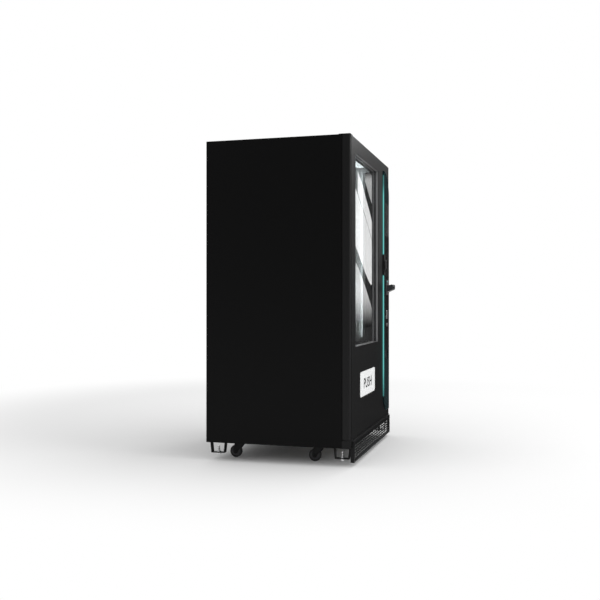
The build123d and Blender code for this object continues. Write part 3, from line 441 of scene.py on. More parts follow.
# colours that follow one axis, and grain as scale, depth and strength
rampLooks = {
    # white room whose front flange, under the gasket, is painted black
    "linerShell": {
        "base": linerWhite, "roughness": 0.4, "specular": 0.4, "grain": (300.0, 0.0001, 0.3),
        "axis": "Y", "blend": "CONSTANT",
        "stops": [(-0.3677, (0.006, 0.006, 0.0062)), (-0.3657, linerWhite), (0.44, linerWhite)],
    },
    # smoked acrylic, with the teal glow of the light strips painted onto its ends
    "panelGloss": {
        "base": smokedPlain, "roughness": 0.07, "specular": 0.05, "grain": (30.0, 0.00002, 0.1),
        "axis": "Z", "blend": "LINEAR",
        "stops": [
            (0.20, paintedTealGlow), (0.48, paintedTealGlow), (0.72, smokedPlain),
            (1.55, smokedPlain), (1.74, paintedTealGlow), (1.87, paintedTealGlow),
        ],
    },
    # teal diffuser, lit from behind, that fades at its far ends
    "tealLight": {
        "base": (0.04, 0.2, 0.19), "roughness": 0.3, "specular": 0.5, "grain": (40.0, 0.00002, 0.2),
        "axis": "Z", "blend": "LINEAR", "strength": 1.15,
        "stops": [
            (0.303, stripFaint), (0.50, stripTeal), (1.71, stripTeal),
            (1.785, stripFaint), (1.85, stripFaint),
        ],
    },
    # the stepped reveal: dark lip, light trim, painted shade of the groove together with the rubber seal of
    # the guard sheet, dark behind it
    "frameGrey": {
        "base": (0.2, 0.2, 0.205), "roughness": 0.38, "specular": 0.4, "grain": (900.0, 0.00005, 0.3),
        "axis": "Y", "blend": "CONSTANT",
        "stops": [
            (doorFrontY - 0.002, (0.003, 0.003, 0.003)), (doorFrontY + 0.0035, (0.2, 0.2, 0.205)),
            # the first stop here paints the groove's shade, and also gives the colour of the rubber seal
            (doorFrontY + 0.0165, (0.035, 0.035, 0.037)), (doorFrontY + 0.0225, (0.010, 0.010, 0.011)),
            (doorFrontY + 0.060, (0.010, 0.010, 0.011)),
        ],
    },
}


def rampFinish(name):
    look = rampLooks[name]
    material, shader = startMaterial(name, look["base"], look["roughness"], specular=look["specular"])
    socket = "Emission Color" if "strength" in look else "Base Color"
    rampAlong(material, shader, socket, look["axis"], look["stops"], look["blend"])
    shader.inputs["Emission Strength"].default_value = look.get("strength", 0.0)
    addGrain(material, shader, *look["grain"])
    return material


lampLook = {"cover": (0.85, 0.87, 0.9), "light": (0.93, 0.97, 1.0)}


def lampFinish(name, strength):
    look = lampLook
    material, shader = startMaterial(name, look["cover"], 0.5)
    setValues(shader, {"Emission Color": (*look["light"], 1), "Emission Strength": strength})
    addGrain(material, shader, 200.0, 0.00005, strength=0.2)
    return material


for name in rampLooks:
    finishes[name] = rampFinish(name)
finishes["guardGlass"] = glassFinish("guardGlass", glassLook["guardIndex"])
# low-reflection coating
finishes["coatedPane"] = glassFinish("coatedPane", glassLook["coatedIndex"])
finishes["screenGloss"] = screenFinish()
finishes["ledWhite"] = lampFinish("ledWhite", 15.0)
finishes["softDiffuser"] = lampFinish("softDiffuser", 2.2)
print("materials made:", len(finishes))


# ---- every CAD node that stays gets its own finish
nodeFinishes = {
    "foam_walls": "foamCream", "door_core": "foamCream", "door_gasket": "gasketRubber",
    "spiral_motors": "motorPlastic", "window_glass": "coatedPane", "kick_plate": "partBlack",
    "light_strips": "tealLight", "back_panel": "cabinetBlack",
}
for nodeName, finishName in nodeFinishes.items():
    nodes[nodeName].data.materials.clear()
    nodes[nodeName].data.materials.append(finishes[finishName])


# ---- sheet pieces whose CAD shape is right and only want soft edges
softEdges = {
    "left_side_panel": (0.0006, "cabinetBlack"), "right_side_panel": (0.0006, "cabinetBlack"),
    "top_panel": (0.0006, "cabinetBlack"), "base_frame": (0.0009, "partBlack"),
    "door_hinges": (0.0008, "partBlack"), "door_shell": (0.0007, "doorBlack"),
    "door_lining": (0.0012, "doorInnerBlack"), "window_frame": (0.0008, "frameGrey"),
    "control_panel": (0.0008, "panelGloss"), "inner_liner": (0.0005, "linerShell"),
    "product_trays": (0.0004, "trayWhite"), "delivery_bin": (0.0006, "binBlack"),
    "lock_housing": (0.0012, "partBlack"), "coin_cup_flap": (0.0006, "snoutPlastic"),
    "delivery_flap": (0.0012, "flapWhite"), "bay_electronics": (0.0006, "casePlastic"),
    "condenser_fan": (0.0006, "fanPlastic"),
}
for nodeName, (width, finishName) in softEdges.items():
    refineNode(nodeName, width, finishName)
print("sheet pieces finished:", len(softEdges))


# ---- note acceptor with softened edges and three small lights above its slot
acceptorLook = {
    "edge": 0.0018, "segments": 3, "faceProud": 0.008,
    "lights": 3, "lightZ": 1.107, "lightPitch": 0.014, "lightRadius": 0.0026, "lightSides": 20,
    "lightSunk": 0.001, "lightProud": 0.0008, "lightEdge": 0.0004,
}


def makeAcceptor():
    look = acceptorLook
    refineNode("note_acceptor", look["edge"], "snoutPlastic", look["segments"])
    middleX = middleOf("note_acceptor").x
    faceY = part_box("control_panel")[0].y - look["faceProud"]
    lights = []
    for step in range(look["lights"]):
        middle = (middleX + (step - 1) * look["lightPitch"], faceY, look["lightZ"])
        lights.append(rodAlong(
            "Y", "slotLight", middle, faceY + look["lightSunk"], faceY - look["lightProud"],
            look["lightRadius"], look["lightSides"],
        ))
    lamps = joinPieces("acceptor_lights", lights)
    roundEdges(lamps, look["lightEdge"])
    setPiece(lamps, "tealLight", "door")


makeAcceptor()


# ---- touch screen: hard glass with a slim black border and a sunk display
screenLook = {
    "corner": 0.006, "border": 0.009, "sink": 0.0004, "frontSlack": 0.0001, "edge": 0.0003, "edgeAngle": 0.3,
}


def makeScreen():
    look = screenLook
    low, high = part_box("touch_screen")
    outline = roundedOutline(low.x, high.x, low.z, high.z, look["corner"])
    screen = addPlate("touch_screen_finish", outline, low.y, high.y - low.y, axis="Y")
    frontY = low.y + look["frontSlack"]
    insetFaces(screen, lambda face: face.center.y < frontY, look["border"], -look["sink"])
    roundEdges(screen, look["edge"], 2, look["edgeAngle"])
    weighNormals(screen)
    setPiece(screen, "screenGloss", "door", ["touch_screen"])


makeScreen()


# ---- coin fittings: entry plate with its slot, return button with a ring
coinLook = {
    "plateHalfWidth": 0.021, "plateHalfHeight": 0.031, "plateProud": 0.002, "plateZ": 0.872,
    "plateSunk": 0.002, "plateCorner": 0.008, "plateEdge": 0.0006,
    "slotHalfWidth": 0.0018, "slotHalfHeight": 0.0155, "slotSunk": 0.0012,
    "ringOuter": 0.0165, "ringInner": 0.0126, "ringDepth": 0.0014, "ringSunk": 0.001, "ringSides": 48,
    "ringEdge": 0.0005, "buttonEdge": 0.0006, "cutReach": 0.01,
}


def makeCoinFittings():
    look = coinLook
    middle = middleOf("coin_button")
    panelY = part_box("control_panel")[0].y
    plateZ, reach = look["plateZ"], look["cutReach"]
    outline = roundedOutline(
        middle.x - look["plateHalfWidth"], middle.x + look["plateHalfWidth"],
        plateZ - look["plateHalfHeight"], plateZ + look["plateHalfHeight"], look["plateCorner"],
    )
    thickness = look["plateProud"] + look["plateSunk"]
    plate = addPlate("coin_entry", outline, panelY - look["plateProud"], thickness, axis="Y")
    cutPiece(plate, [addBlock(
        "slotCutter",
        (middle.x - look["slotHalfWidth"], panelY - reach, plateZ - look["slotHalfHeight"]),
        (middle.x + look["slotHalfWidth"], panelY + look["slotSunk"], plateZ + look["slotHalfHeight"]),
    )])
    roundEdges(plate, look["plateEdge"])
    setPiece(plate, "zincSteel", "door")
    refineNode("coin_button", look["buttonEdge"], "zincSteel", 3)
    ring = rodAlong(
        "Y", "coin_button_ring", middle, panelY + look["ringSunk"], panelY - look["ringDepth"],
        look["ringOuter"], look["ringSides"],
    )
    cutPiece(ring, [rodAlong(
        "Y", "ringCutter", middle, panelY + reach, panelY - reach, look["ringInner"], look["ringSides"],
    )])
    roundEdges(ring, look["ringEdge"])
    setPiece(ring, "darkSteel", "door")


makeCoinFittings()


# ---- guard sheet in the groove round the window frame, posts behind it
guardLook = {
    "frameRim": 0.012, "groove": 0.0027, "depth": 0.0225, "thickness": 0.003,
    "postWidth": 0.014, "postFrontY": -0.353, "postBackY": -0.321, "postLift": 0.016, "postEdge": 0.0012,
}


def makeGuardSheet():
    look = guardLook
    low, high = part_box("window_frame")
    inset = look["frameRim"] - look["groove"]
    frontY = doorFrontY + look["depth"]
    sheet = addBlock(
        "window_guard", (low.x + inset, frontY, low.z + inset),
        (high.x - inset, frontY + look["thickness"], high.z - inset),
    )
    setPiece(sheet, "guardGlass", "door")
    # black posts on the door's lining, at both sides of the window
    rim, width = look["frameRim"], look["postWidth"]
    lowZ, highZ = low.z + look["postLift"], high.z - look["postLift"]
    posts = [
        addBlock("post", (lowX, look["postFrontY"], lowZ), (lowX + width, look["postBackY"], highZ))
        for lowX in (low.x + rim - width, high.x - rim)
    ]
    posts = roundEdges(joinPieces("window_posts", posts), look["postEdge"])
    setPiece(posts, "doorInnerBlack", "door")


makeGuardSheet()


# ---- lock handle: a flat paddle with a keyhole boss
lockLook = {
    "edge": 0.0016, "bossRadius": 0.0065, "bossSides": 36, "bossSunk": 0.002, "bossProud": 0.0002,
    "keyHalfWidth": 0.0009, "keyHalfHeight": 0.0035, "keySunk": 0.001, "cutReach": 0.01,
}


def makeLockHandle():
    look = lockLook
    refineNode("lock_handle", look["edge"], "darkSteel", 3)
    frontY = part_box("lock_handle")[0].y
    middle = middleOf("lock_handle")
    boss = rodAlong(
        "Y", "lock_boss", middle, frontY + look["bossSunk"], frontY + look["bossProud"],
        look["bossRadius"], look["bossSides"],
    )
    cutPiece(boss, [addBlock(
        "keyCutter",
        (middle.x - look["keyHalfWidth"], frontY - look["cutReach"], middle.z - look["keyHalfHeight"]),
        (middle.x + look["keyHalfWidth"], frontY + look["keySunk"], middle.z + look["keyHalfHeight"]),
    )])
    setPiece(boss, "zincSteel", "lock_handle")


makeLockHandle()


# ---- delivery flap: plain functional lettering, a dark collar in the opening
flapLook = {
    "word": "PUSH", "wordWidth": 0.251, "wordHeight": 0.064, "wordProud": 0.0004, "wordShift": 0.005,
    "wordDepth": 0.004, "bolder": 0.008,
    "pinLength": 0.0097, "pinRadius": 0.003, "pinDrop": 0.008, "pinSlack": 0.0006, "pinSides": 24,
    "faceBehindPin": 0.0005, "margin": 0.0023, "corner": 0.0035, "collarWall": 0.0005,
    "collarFrontY": -0.4159, "collarBackY": -0.3712, "cutReach": 0.01, "smoothAngle": 0.5,
}


def spansOf(piece):
    return [
        [min(v.co[axis] for v in piece.data.vertices), max(v.co[axis] for v in piece.data.vertices)]
        for axis in range(3)
    ]


def makeFlapWord():
    look = flapLook
    low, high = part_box("delivery_flap")
    deselectAll()
    bpy.ops.object.text_add(location=(0, 0, 0))
    word = bpy.context.object
    word.data.body = look["word"]
    word.data.extrude = look["wordDepth"]
    word.data.offset = look["bolder"]
    activate(word)
    bpy.ops.object.convert(target="MESH")
    word = bpy.context.object
    word.rotation_euler = (math.radians(90), 0, 0)
    settle(word)
    sizes = (look["wordWidth"], 2 * look["wordProud"], look["wordHeight"])
    word.scale = [size / (span[1] - span[0]) for size, span in zip(sizes, spansOf(word))]
    settle(word)
    spans = spansOf(word)
    word.location = (
        (low.x + high.x - spans[0][0] - spans[0][1]) / 2 + look["wordShift"],
        low.y + look["faceBehindPin"] - look["wordProud"] - spans[1][0],
        (low.z + high.z - spans[2][0] - spans[2][1]) / 2,
    )
    settle(word)
    word.name = "flap_word"
    setPiece(word, "letterBlack", "delivery_flap")


def makeFlapCollar():
    # thin black lining of the flap's opening, with holes for the flap's pins
    look = flapLook
    low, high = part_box("delivery_flap")
    side = look["pinLength"] - look["margin"]
    left, right = low.x + side, high.x - side
    bottom, top, wall = low.z - look["margin"], high.z + look["margin"], look["collarWall"]
    pinY, pinZ = low.y + look["pinRadius"], high.z - look["pinDrop"]
    reach = look["cutReach"]
    frontY = look["collarFrontY"]
    depth = look["collarBackY"] - frontY
    outside = roundedOutline(left, right, bottom, top, look["corner"])
    collar = addPlate("flap_collar", outside, frontY, depth, axis="Y")
    inside = roundedOutline(left + wall, right - wall, bottom + wall, top - wall, look["corner"] - wall)
    cutPiece(collar, [
        addPlate("mouthCutter", inside, frontY - reach, depth + 2 * reach, axis="Y"),
        rodAlong(
            "X", "pinCutter", (left, pinY, pinZ), left - reach, right + reach,
            look["pinRadius"] + look["pinSlack"], look["pinSides"],
        ),
    ])
    smoothPiece(collar, look["smoothAngle"])
    setPiece(collar, "partBlack", "door")


makeFlapWord()
makeFlapCollar()
print("door fittings made")


# ---- spirals: full wire coils on drive discs
coilLook = {
    "wireRadius": 0.0025, "wireSides": 8, "stepsPerTurn": 36, "wideRadius": 0.07,
    "wideTurns": 7, "narrowTurns": 10, "shaftLength": 0.030, "discThickness": 0.010,
    "discRadius": 0.015, "discSides": 32, "discEdge": 0.0012,
    "armReach": 0.022, "armSides": 10, "armSeat": 0.002, "stemShare": 1.4, "stemSides": 16, "stemSeat": 0.004,
    "shaftRadius": 0.004, "shaftSides": 20, "shaftSeat": 0.001, "smoothAngle": 0.8,
}


def windCoil(nodeName):
    look = coilLook
    low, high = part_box(nodeName)
    coilRadius = (high.x - low.x) / 2 - look["wireRadius"]
    turns = look["wideTurns"] if coilRadius > look["wideRadius"] else look["narrowTurns"]
    middle = middleOf(nodeName)
    discBack = high.y - look["shaftLength"]
    startY = discBack - look["discThickness"] - look["armReach"]
    endY = low.y + look["wireRadius"]
    deselectAll()
    bpy.ops.mesh.primitive_circle_add(
        vertices=look["wireSides"], radius=look["wireRadius"], location=(coilRadius, 0, 0),
        rotation=(math.radians(90), 0, 0),
    )
    coil = bpy.context.object
    settle(coil)
    applyModifier(
        coil, "SCREW", axis="Z", angle=-2 * math.pi, screw_offset=(startY - endY) / turns, iterations=turns,
        steps=look["stepsPerTurn"], render_steps=look["stepsPerTurn"], use_merge_vertices=False,
    )
    setMode("EDIT")
    selectAll()
    bpy.ops.mesh.remove_doubles(threshold=meshLook["mergeGap"])
    bpy.ops.mesh.select_all(action="DESELECT")
    bpy.ops.mesh.select_mode(type="EDGE")
    bpy.ops.mesh.select_non_manifold()
    bpy.ops.mesh.edge_face_add()
    selectAll()
    bpy.ops.mesh.normals_make_consistent(inside=False)
    setMode("OBJECT")
    coil.rotation_euler = (math.radians(90), 0, 0)
    coil.location = (middle.x, startY, middle.z)
    settle(coil)
    arm = addRod(
        "arm", (middle.x, startY, middle.z), (middle.x + coilRadius, startY, middle.z),
        look["wireRadius"], look["armSides"],
    )
    rods = {}
    stemRadius = look["wireRadius"] * look["stemShare"]
    for name, start, end, radius in (
        ("stem", discBack - look["stemSeat"], startY - look["armSeat"], stemRadius),
        ("disc", discBack, discBack - look["discThickness"], look["discRadius"]),
        ("shaft", high.y, discBack - look["shaftSeat"], look["shaftRadius"]),
    ):
        rods[name] = rodAlong("Y", name, middle, start, end, radius, look[name + "Sides"])
    roundEdges(rods["disc"], look["discEdge"])
    piece = joinPieces(nodeName + "_finish", [coil, arm, *rods.values()])
    smoothPiece(piece, look["smoothAngle"])
    return standFor(nodeName, piece, "wireSteel")


coilMasters = {}
for nodeName in sorted(name for name in nodes if name.startswith("spiral_") and name != "spiral_motors"):
    low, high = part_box(nodeName)
    coilSize = round(high.x - low.x, 4)
    if coilSize not in coilMasters:
        coilMasters[coilSize] = (windCoil(nodeName), nodeName)
        continue
    master, masterNode = coilMasters[coilSize]
    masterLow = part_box(masterNode)[0]
    twin = copyMoved(master, nodeName + "_finish", low - masterLow)
    for key in list(twin.keys()):
        del twin[key]
    standFor(nodeName, twin, "wireSteel")
print("spirals wound:", sum(1 for name in nodes if name.startswith("spiral_")) - 1)


# ---- cold room fittings: light bars, ceiling light, price rails with blank cards
roomLook = {
    "trayLevels": [0.722, 1.007, 1.292, 1.577], "trayFrontY": -0.2125,
    "lanes": [5, 4, 4, 4], "trayLeft": -0.603, "trayRight": 0.268,
    "railLift": 0.002, "railHeight": 0.034, "railProud": 0.004, "railFront": 0.0035,
    "railRim": 0.0035, "railSunk": 0.002, "railEdge": 0.0006,
    "cardWidth": 0.058, "cardHeight": 0.024, "cardFront": 0.0028, "cardBack": 0.0018, "cardEdge": 0.0003,
    "barLowZ": 0.72, "barHighZ": 1.86, "barFrontY": -0.315, "barDepth": 0.018, "barWidth": 0.012,
    "barGap": 0.003, "barEdge": 0.0008,
    "channelDepth": 0.004, "channelSide": 0.002, "channelEnd": 0.01, "cutReach": 0.01,
    "lampSide": 0.0025, "lampEnd": 0.011, "lampSunk": 0.0005, "lampProud": 0.0015, "lampEdge": 0.0003,
    "ceilingLow": (-0.595, -0.342, 1.884), "ceilingHigh": (0.262, -0.254, 1.8965), "ceilingEdge": 0.0012,
    "diffuserRim": 0.004, "diffuserDrop": 0.0008, "diffuserSunk": 0.002, "diffuserEdge": 0.0004,
}


def makeRoomFittings():
    look = roomLook
    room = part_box("delivery_bin")
    bars, lamps, rails, cards = [], [], [], []
    for side, wallX in ((1, room[0].x - look["barGap"]), (-1, room[1].x + look["barGap"])):
        nearX, farX = sorted((wallX, wallX + side * look["barWidth"]))
        backY = look["barFrontY"] + look["barDepth"]
        bar = addBlock("bar", (nearX, look["barFrontY"], look["barLowZ"]), (farX, backY, look["barHighZ"]))
        channelY = backY - look["channelDepth"]
        cutPiece(bar, [addBlock(
            "channelCutter",
            (nearX + look["channelSide"], channelY, look["barLowZ"] + look["channelEnd"]),
            (farX - look["channelSide"], backY + look["cutReach"], look["barHighZ"] - look["channelEnd"]),
        )])
        bars.append(roundEdges(bar, look["barEdge"]))
        lamp = addBlock(
            "lamp",
            (nearX + look["lampSide"], channelY - look["lampSunk"], look["barLowZ"] + look["lampEnd"]),
            (farX - look["lampSide"], channelY + look["lampProud"], look["barHighZ"] - look["lampEnd"]),
        )
        lamps.append(roundEdges(lamp, look["lampEdge"]))
    # flat light under the ceiling, just inside the door
    low, high, rim = look["ceilingLow"], look["ceilingHigh"], look["diffuserRim"]
    bars.append(roundEdges(addBlock("ceilingCase", low, high), look["ceilingEdge"]))
    diffuser = addBlock(
        "ceiling_diffuser", (low[0] + rim, low[1] + rim, low[2] - look["diffuserDrop"]),
        (high[0] - rim, high[1] - rim, low[2] + look["diffuserSunk"]),
    )
    roundEdges(diffuser, look["diffuserEdge"])
    setPiece(diffuser, "softDiffuser", "cabinet")
    setPiece(joinPieces("light_bar_cases", bars), "linerWhite", "cabinet")
    setPiece(joinPieces("light_bar_lamps", lamps), "ledWhite", "cabinet")
    frontY = look["trayFrontY"]
    halfWidth, halfHeight = look["cardWidth"] / 2, look["cardHeight"] / 2
    for levelZ, lanes in zip(look["trayLevels"], look["lanes"]):
        railZ = levelZ + look["railLift"]
        rail = addBlock(
            "rail", (look["trayLeft"], frontY - look["railProud"], railZ),
            (look["trayRight"], frontY, railZ + look["railHeight"]),
        )
        insetFaces(
            rail, lambda face: face.center.y < frontY - look["railFront"], look["railRim"], -look["railSunk"],
        )
        rails.append(roundEdges(rail, look["railEdge"]))
        laneWidth = (look["trayRight"] - look["trayLeft"]) / lanes
        for lane in range(lanes):
            middleX = look["trayLeft"] + laneWidth * (lane + 0.5)
            middleZ = railZ + look["railHeight"] / 2
            card = addBlock(
                "card", (middleX - halfWidth, frontY - look["cardFront"], middleZ - halfHeight),
                (middleX + halfWidth, frontY - look["cardBack"], middleZ + halfHeight),
            )
            cards.append(roundEdges(card, look["cardEdge"]))
    setPiece(joinPieces("price_rails", rails), "casePlastic", "cabinet")
    setPiece(joinPieces("price_cards", cards), "flapWhite", "cabinet")


makeRoomFittings()
print("cold room fitted")


# ---- casters: curved fork plates, races and tyred wheels
casterLook = {
    "plateThickness": 0.003, "plateEdge": 0.0008, "plateDrop": 0.0005, "plateGap": 0.001,
    "plateFront": 0.026, "plateBack": 0.027, "frontHandle": (-0.027, -0.025), "backHandle": (0.034, -0.014),
    "bossRadius": 0.0145, "bossSteps": 8, "bossFrontHandle": (-0.012, 0.016), "bossBackHandle": (0.002, 0.02),
    "crownRadius": 0.029, "crownDepth": 0.007, "crownSides": 48, "crownEdge": 0.001,
    "pinRadius": 0.0061, "pinSides": 32, "pinBelow": 0.02, "pinAbove": 0.01,
    "axleRadius": 0.005, "axleSides": 24, "axleEdge": 0.0006, "nutRadius": 0.0075, "nutEdge": 0.0005,
    "treadWidth": 0.026, "wheelSides": 64, "treadRim": 0.0105, "treadSunk": 0.0022, "treadEdge": 0.0042,
    "hubWidth": 0.031, "hubRadius": 0.0135, "hubSides": 40, "hubEdge": 0.0012, "hubBore": 0.0051,
    "rimRadius": 0.0262, "rimSides": 48, "rimSunk": 0.0012, "rimEdge": 0.0008,
    "treadBite": 0.001, "rimBite": 0.0005, "cutReach": 0.03,
}


def bezier(first, firstHandle, secondHandle, second, steps=9):
    points = []
    for step in range(1, steps):
        share = step / steps
        rest = 1 - share
        points.append(tuple(
            rest ** 3 * first[axis] + 3 * rest ** 2 * share * firstHandle[axis]
            + 3 * rest * share ** 2 * secondHandle[axis] + share ** 3 * second[axis]
            for axis in range(2)
        ))
    return points


def shifted(point, offset):
    return (point[0] + offset[0], point[1] + offset[1])


def makeCaster(number):
    look = casterLook
    forkName, wheelName = "caster_fork_%d" % number, "caster_wheel_%d" % number
    forkLow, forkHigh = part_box(forkName)
    wheelLow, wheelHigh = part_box(wheelName)
    axle = middleOf(wheelName)
    swivelY, topZ = forkLow.y + look["crownRadius"], forkHigh.z
    swivel = (axle.x, swivelY, topZ)

    def axleRod(name, half, radius, sides):
        return rodAlong("X", name, axle, axle.x - half, axle.x + half, radius, look[sides])

    boss, steps = look["bossRadius"], look["bossSteps"]
    front = (swivelY - look["plateFront"], topZ - look["plateDrop"])
    back = (swivelY + look["plateBack"], topZ - look["plateDrop"])
    bossFront, bossBack = (axle.y - boss, axle.z), (axle.y + boss, axle.z)
    outline = [front]
    outline += bezier(
        front, shifted(swivel[1:], look["frontHandle"]),
        shifted(bossFront, look["bossFrontHandle"]), bossFront,
    )
    for step in range(steps + 1):
        turn = math.radians(180 + 180 * step / steps)
        outline.append((axle.y + boss * math.cos(turn), axle.z + boss * math.sin(turn)))
    outline += bezier(
        bossBack, shifted(bossBack, look["bossBackHandle"]), shifted(swivel[1:], look["backHandle"]), back,
    )
    outline.append(back)
    pieces = []
    inner = look["hubWidth"] / 2 + look["plateGap"]
    for lowX in (axle.x - inner - look["plateThickness"], axle.x + inner):
        cheek = addPlate("cheek", outline, lowX, look["plateThickness"])
        pieces.append(roundEdges(cheek, look["plateEdge"]))
    crown = rodAlong(
        "Z", "crown", swivel, topZ - look["crownDepth"], topZ, look["crownRadius"], look["crownSides"],
    )
    cutPiece(crown, [rodAlong(
        "Z", "pinCutter", swivel, topZ - look["pinBelow"], topZ + look["pinAbove"],
        look["pinRadius"], look["pinSides"],
    )])
    pieces.append(roundEdges(crown, look["crownEdge"]))
    end = inner + 2 * look["plateThickness"]
    pin = axleRod("axle", end, look["axleRadius"], "axleSides")
    pieces.append(roundEdges(pin, look["axleEdge"]))
    for side in (-1, 1):
        nut = rodAlong(
            "X", "nut", axle, axle.x + side * (inner + look["plateThickness"]),
            axle.x + side * (end - look["axleEdge"]), look["nutRadius"], 6,
        )
        pieces.append(roundEdges(nut, look["nutEdge"]))
    standFor(forkName, joinPieces(forkName + "_finish", pieces), "partBlack")
    half = look["treadWidth"] / 2
    tread = axleRod("tread", half, (wheelHigh.z - wheelLow.z) / 2, "wheelSides")
    insetFaces(tread, lambda face: abs(face.normal.x) > 0.9, look["treadRim"], -look["treadSunk"])
    hub = axleRod("hub", look["hubWidth"] / 2, look["hubRadius"], "hubSides")
    rim = axleRod("rim", half - look["rimSunk"], look["rimRadius"], "rimSides")
    bores = (
        (tread, look["hubRadius"] - look["treadBite"]), (hub, look["hubBore"]),
        (rim, look["hubRadius"] - look["rimBite"]),
    )
    for piece, radius in bores:
        cutPiece(piece, [axleRod("boreCutter", look["cutReach"], radius, "hubSides")])
    roundEdges(tread, look["treadEdge"], 4, 0.9)
    roundEdges(hub, look["hubEdge"])
    standFor(wheelName, joinPieces(wheelName + "_finish", [tread, hub]), "wheelRubber")
    setPiece(roundEdges(rim, look["rimEdge"]), "snoutPlastic", wheelName)
    rim.name = "caster_rim_%d" % number


for number in range(1, 5):
    makeCaster(number)
print("casters made")


# ---- levelling feet: pad, threaded stud and lock nut
footLook = {
    "padThickness": 0.008, "padSides": 48, "padEdge": 0.0012,
    "studRadius": 0.008, "studSides": 28, "studLift": 0.006,
    "threadPitch": 0.0022, "threadDepth": 0.0009, "threadLift": 0.003, "threadStop": 0.002,
    "threadShare": 0.55, "rootShare": 0.9,
    "strapZ": 0.046, "nutRadius": 0.0145, "nutHeight": 0.007, "nutBore": 0.0084, "nutEdge": 0.0006,
    "nutBelow": 0.01, "nutAbove": 0.02, "smoothAngle": 0.6,
}


def makeFoot(number):
    look = footLook
    name = "levelling_foot_%d" % number
    low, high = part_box(name)
    middle = middleOf(name)
    pad = rodAlong(
        "Z", "pad", middle, low.z, low.z + look["padThickness"], (high.x - low.x) / 2, look["padSides"],
    )
    roundEdges(pad, look["padEdge"], 3)
    core = rodAlong(
        "Z", "core", middle, low.z + look["studLift"], high.z,
        look["studRadius"] - look["threadDepth"], look["studSides"],
    )
    rings = []
    rootRadius = look["studRadius"] - look["threadDepth"] * look["rootShare"]
    threadStart = low.z + look["padThickness"] + look["threadLift"]
    ringCount = int((high.z - threadStart - look["threadStop"]) / look["threadPitch"])
    for ring in range(ringCount):
        ringZ = threadStart + ring * look["threadPitch"]
        rings.append(rodAlong(
            "Z", "thread", middle, ringZ, ringZ + look["threadPitch"] * look["threadShare"],
            rootRadius, look["studSides"], look["studRadius"],
        ))
    foot = joinPieces(name + "_finish", [pad, core, *rings])
    smoothPiece(foot, look["smoothAngle"])
    standFor(name, foot, "brightZinc")
    return middle


def makeLockNut(middle):
    look = footLook
    strapZ = look["strapZ"]
    nut = rodAlong("Z", "footNut", middle, strapZ, strapZ + look["nutHeight"], look["nutRadius"], 6)
    cutPiece(nut, [rodAlong(
        "Z", "nutCutter", middle, strapZ - look["nutBelow"], strapZ + look["nutAbove"],
        look["nutBore"], look["studSides"],
    )])
    return roundEdges(nut, look["nutEdge"])


nuts = [makeLockNut(makeFoot(number)) for number in range(1, 5)]
setPiece(joinPieces("foot_lock_nuts", nuts), "zincSteel", "cabinet")
refineNode("support_brackets", 0.0008, "partBlack")
print("levelling feet made")


# ---- cooling unit with fins on its condenser
coolingLook = {
    "edge": 0.0008, "finPitch": 0.006, "finThickness": 0.0006, "finHalfSpan": 0.145,
    "finFrontY": -0.3195, "finBackY": -0.3165, "finLowZ": 0.160, "finHighZ": 0.284,
}


def makeCoolingDetail():
    look = coolingLook
    refineNode("cooling_unit", look["edge"], "coatedSheet")
    startX = middleOf("condenser_fan").x - look["finHalfSpan"]
    fins = []
    for fin in range(int(2 * look["finHalfSpan"] / look["finPitch"])):
        finX = startX + fin * look["finPitch"]
        fins.append(addBlock(
            "fin", (finX, look["finFrontY"], look["finLowZ"]),
            (finX + look["finThickness"], look["finBackY"], look["finHighZ"]),
        ))
    setPiece(joinPieces("condenser_fins", fins), "finAluminium", "cabinet")


makeCoolingDetail()
print("cooling unit made")


# ---- floor, world, reflectors, lamps and camera
studio = {
    "floorSize": 120.0, "floorColour": (0.76, 0.76, 0.76), "worldLight": 1.0,
    "fadeMiddle": (1.6, 0.5, 0.0), "fadeStart": 1.95, "fadeEnd": 3.9,
    "cameraPlace": (-5.357, -1.4575, 0.964), "cameraTurn": (90.12, 0.0, -74.09),
    "cameraLens": 50, "cameraSensor": 36, "cameraReach": 200, "cardThickness": 0.002,
}


def seenRays(owner):
    # 1 for what the camera sees, also in gloss and through glass, otherwise 0
    path = addNode(owner, "ShaderNodeLightPath")
    result, output = path, "Is Camera Ray"
    for name in ("Is Glossy Ray", "Is Transmission Ray"):
        larger = addNode(owner, "ShaderNodeMath", {"operation": "MAXIMUM"})
        link(owner, result, output, larger, 0)
        link(owner, path, name, larger, 1)
        result, output = larger, 0
    return result


def makeFloor():
    # pale floor that keeps the shadow and runs out into the white background
    deselectAll()
    bpy.ops.mesh.primitive_plane_add(size=studio["floorSize"], location=(0, 0, 0))
    floor = bpy.context.object
    floor.name = "studio_floor"
    settle(floor)
    material, shader = startMaterial("studioFloor", studio["floorColour"], 0.8, specular=0.0)
    output = material.node_tree.nodes["Material Output"]
    coordinates = addNode(material, "ShaderNodeTexCoord")
    distance = addNode(material, "ShaderNodeVectorMath", {"operation": "DISTANCE"})
    distance.inputs[1].default_value = studio["fadeMiddle"]
    link(material, coordinates, "Object", distance, 0)
    fade = mapRange(material, studio["fadeStart"], studio["fadeEnd"], kind="SMOOTHSTEP")
    link(material, distance, "Value", fade, "Value")
    share = addNode(material, "ShaderNodeMath", {"operation": "MULTIPLY"})
    link(material, fade, "Result", share, 0)
    link(material, seenRays(material), 0, share, 1)
    white = addNode(material, "ShaderNodeEmission")
    mix = addNode(material, "ShaderNodeMixShader")
    for place, source in enumerate((share, shader, white)):
        link(material, source, 0, mix, place)
    link(material, mix, 0, output, "Surface")
    floor.data.materials.append(material)


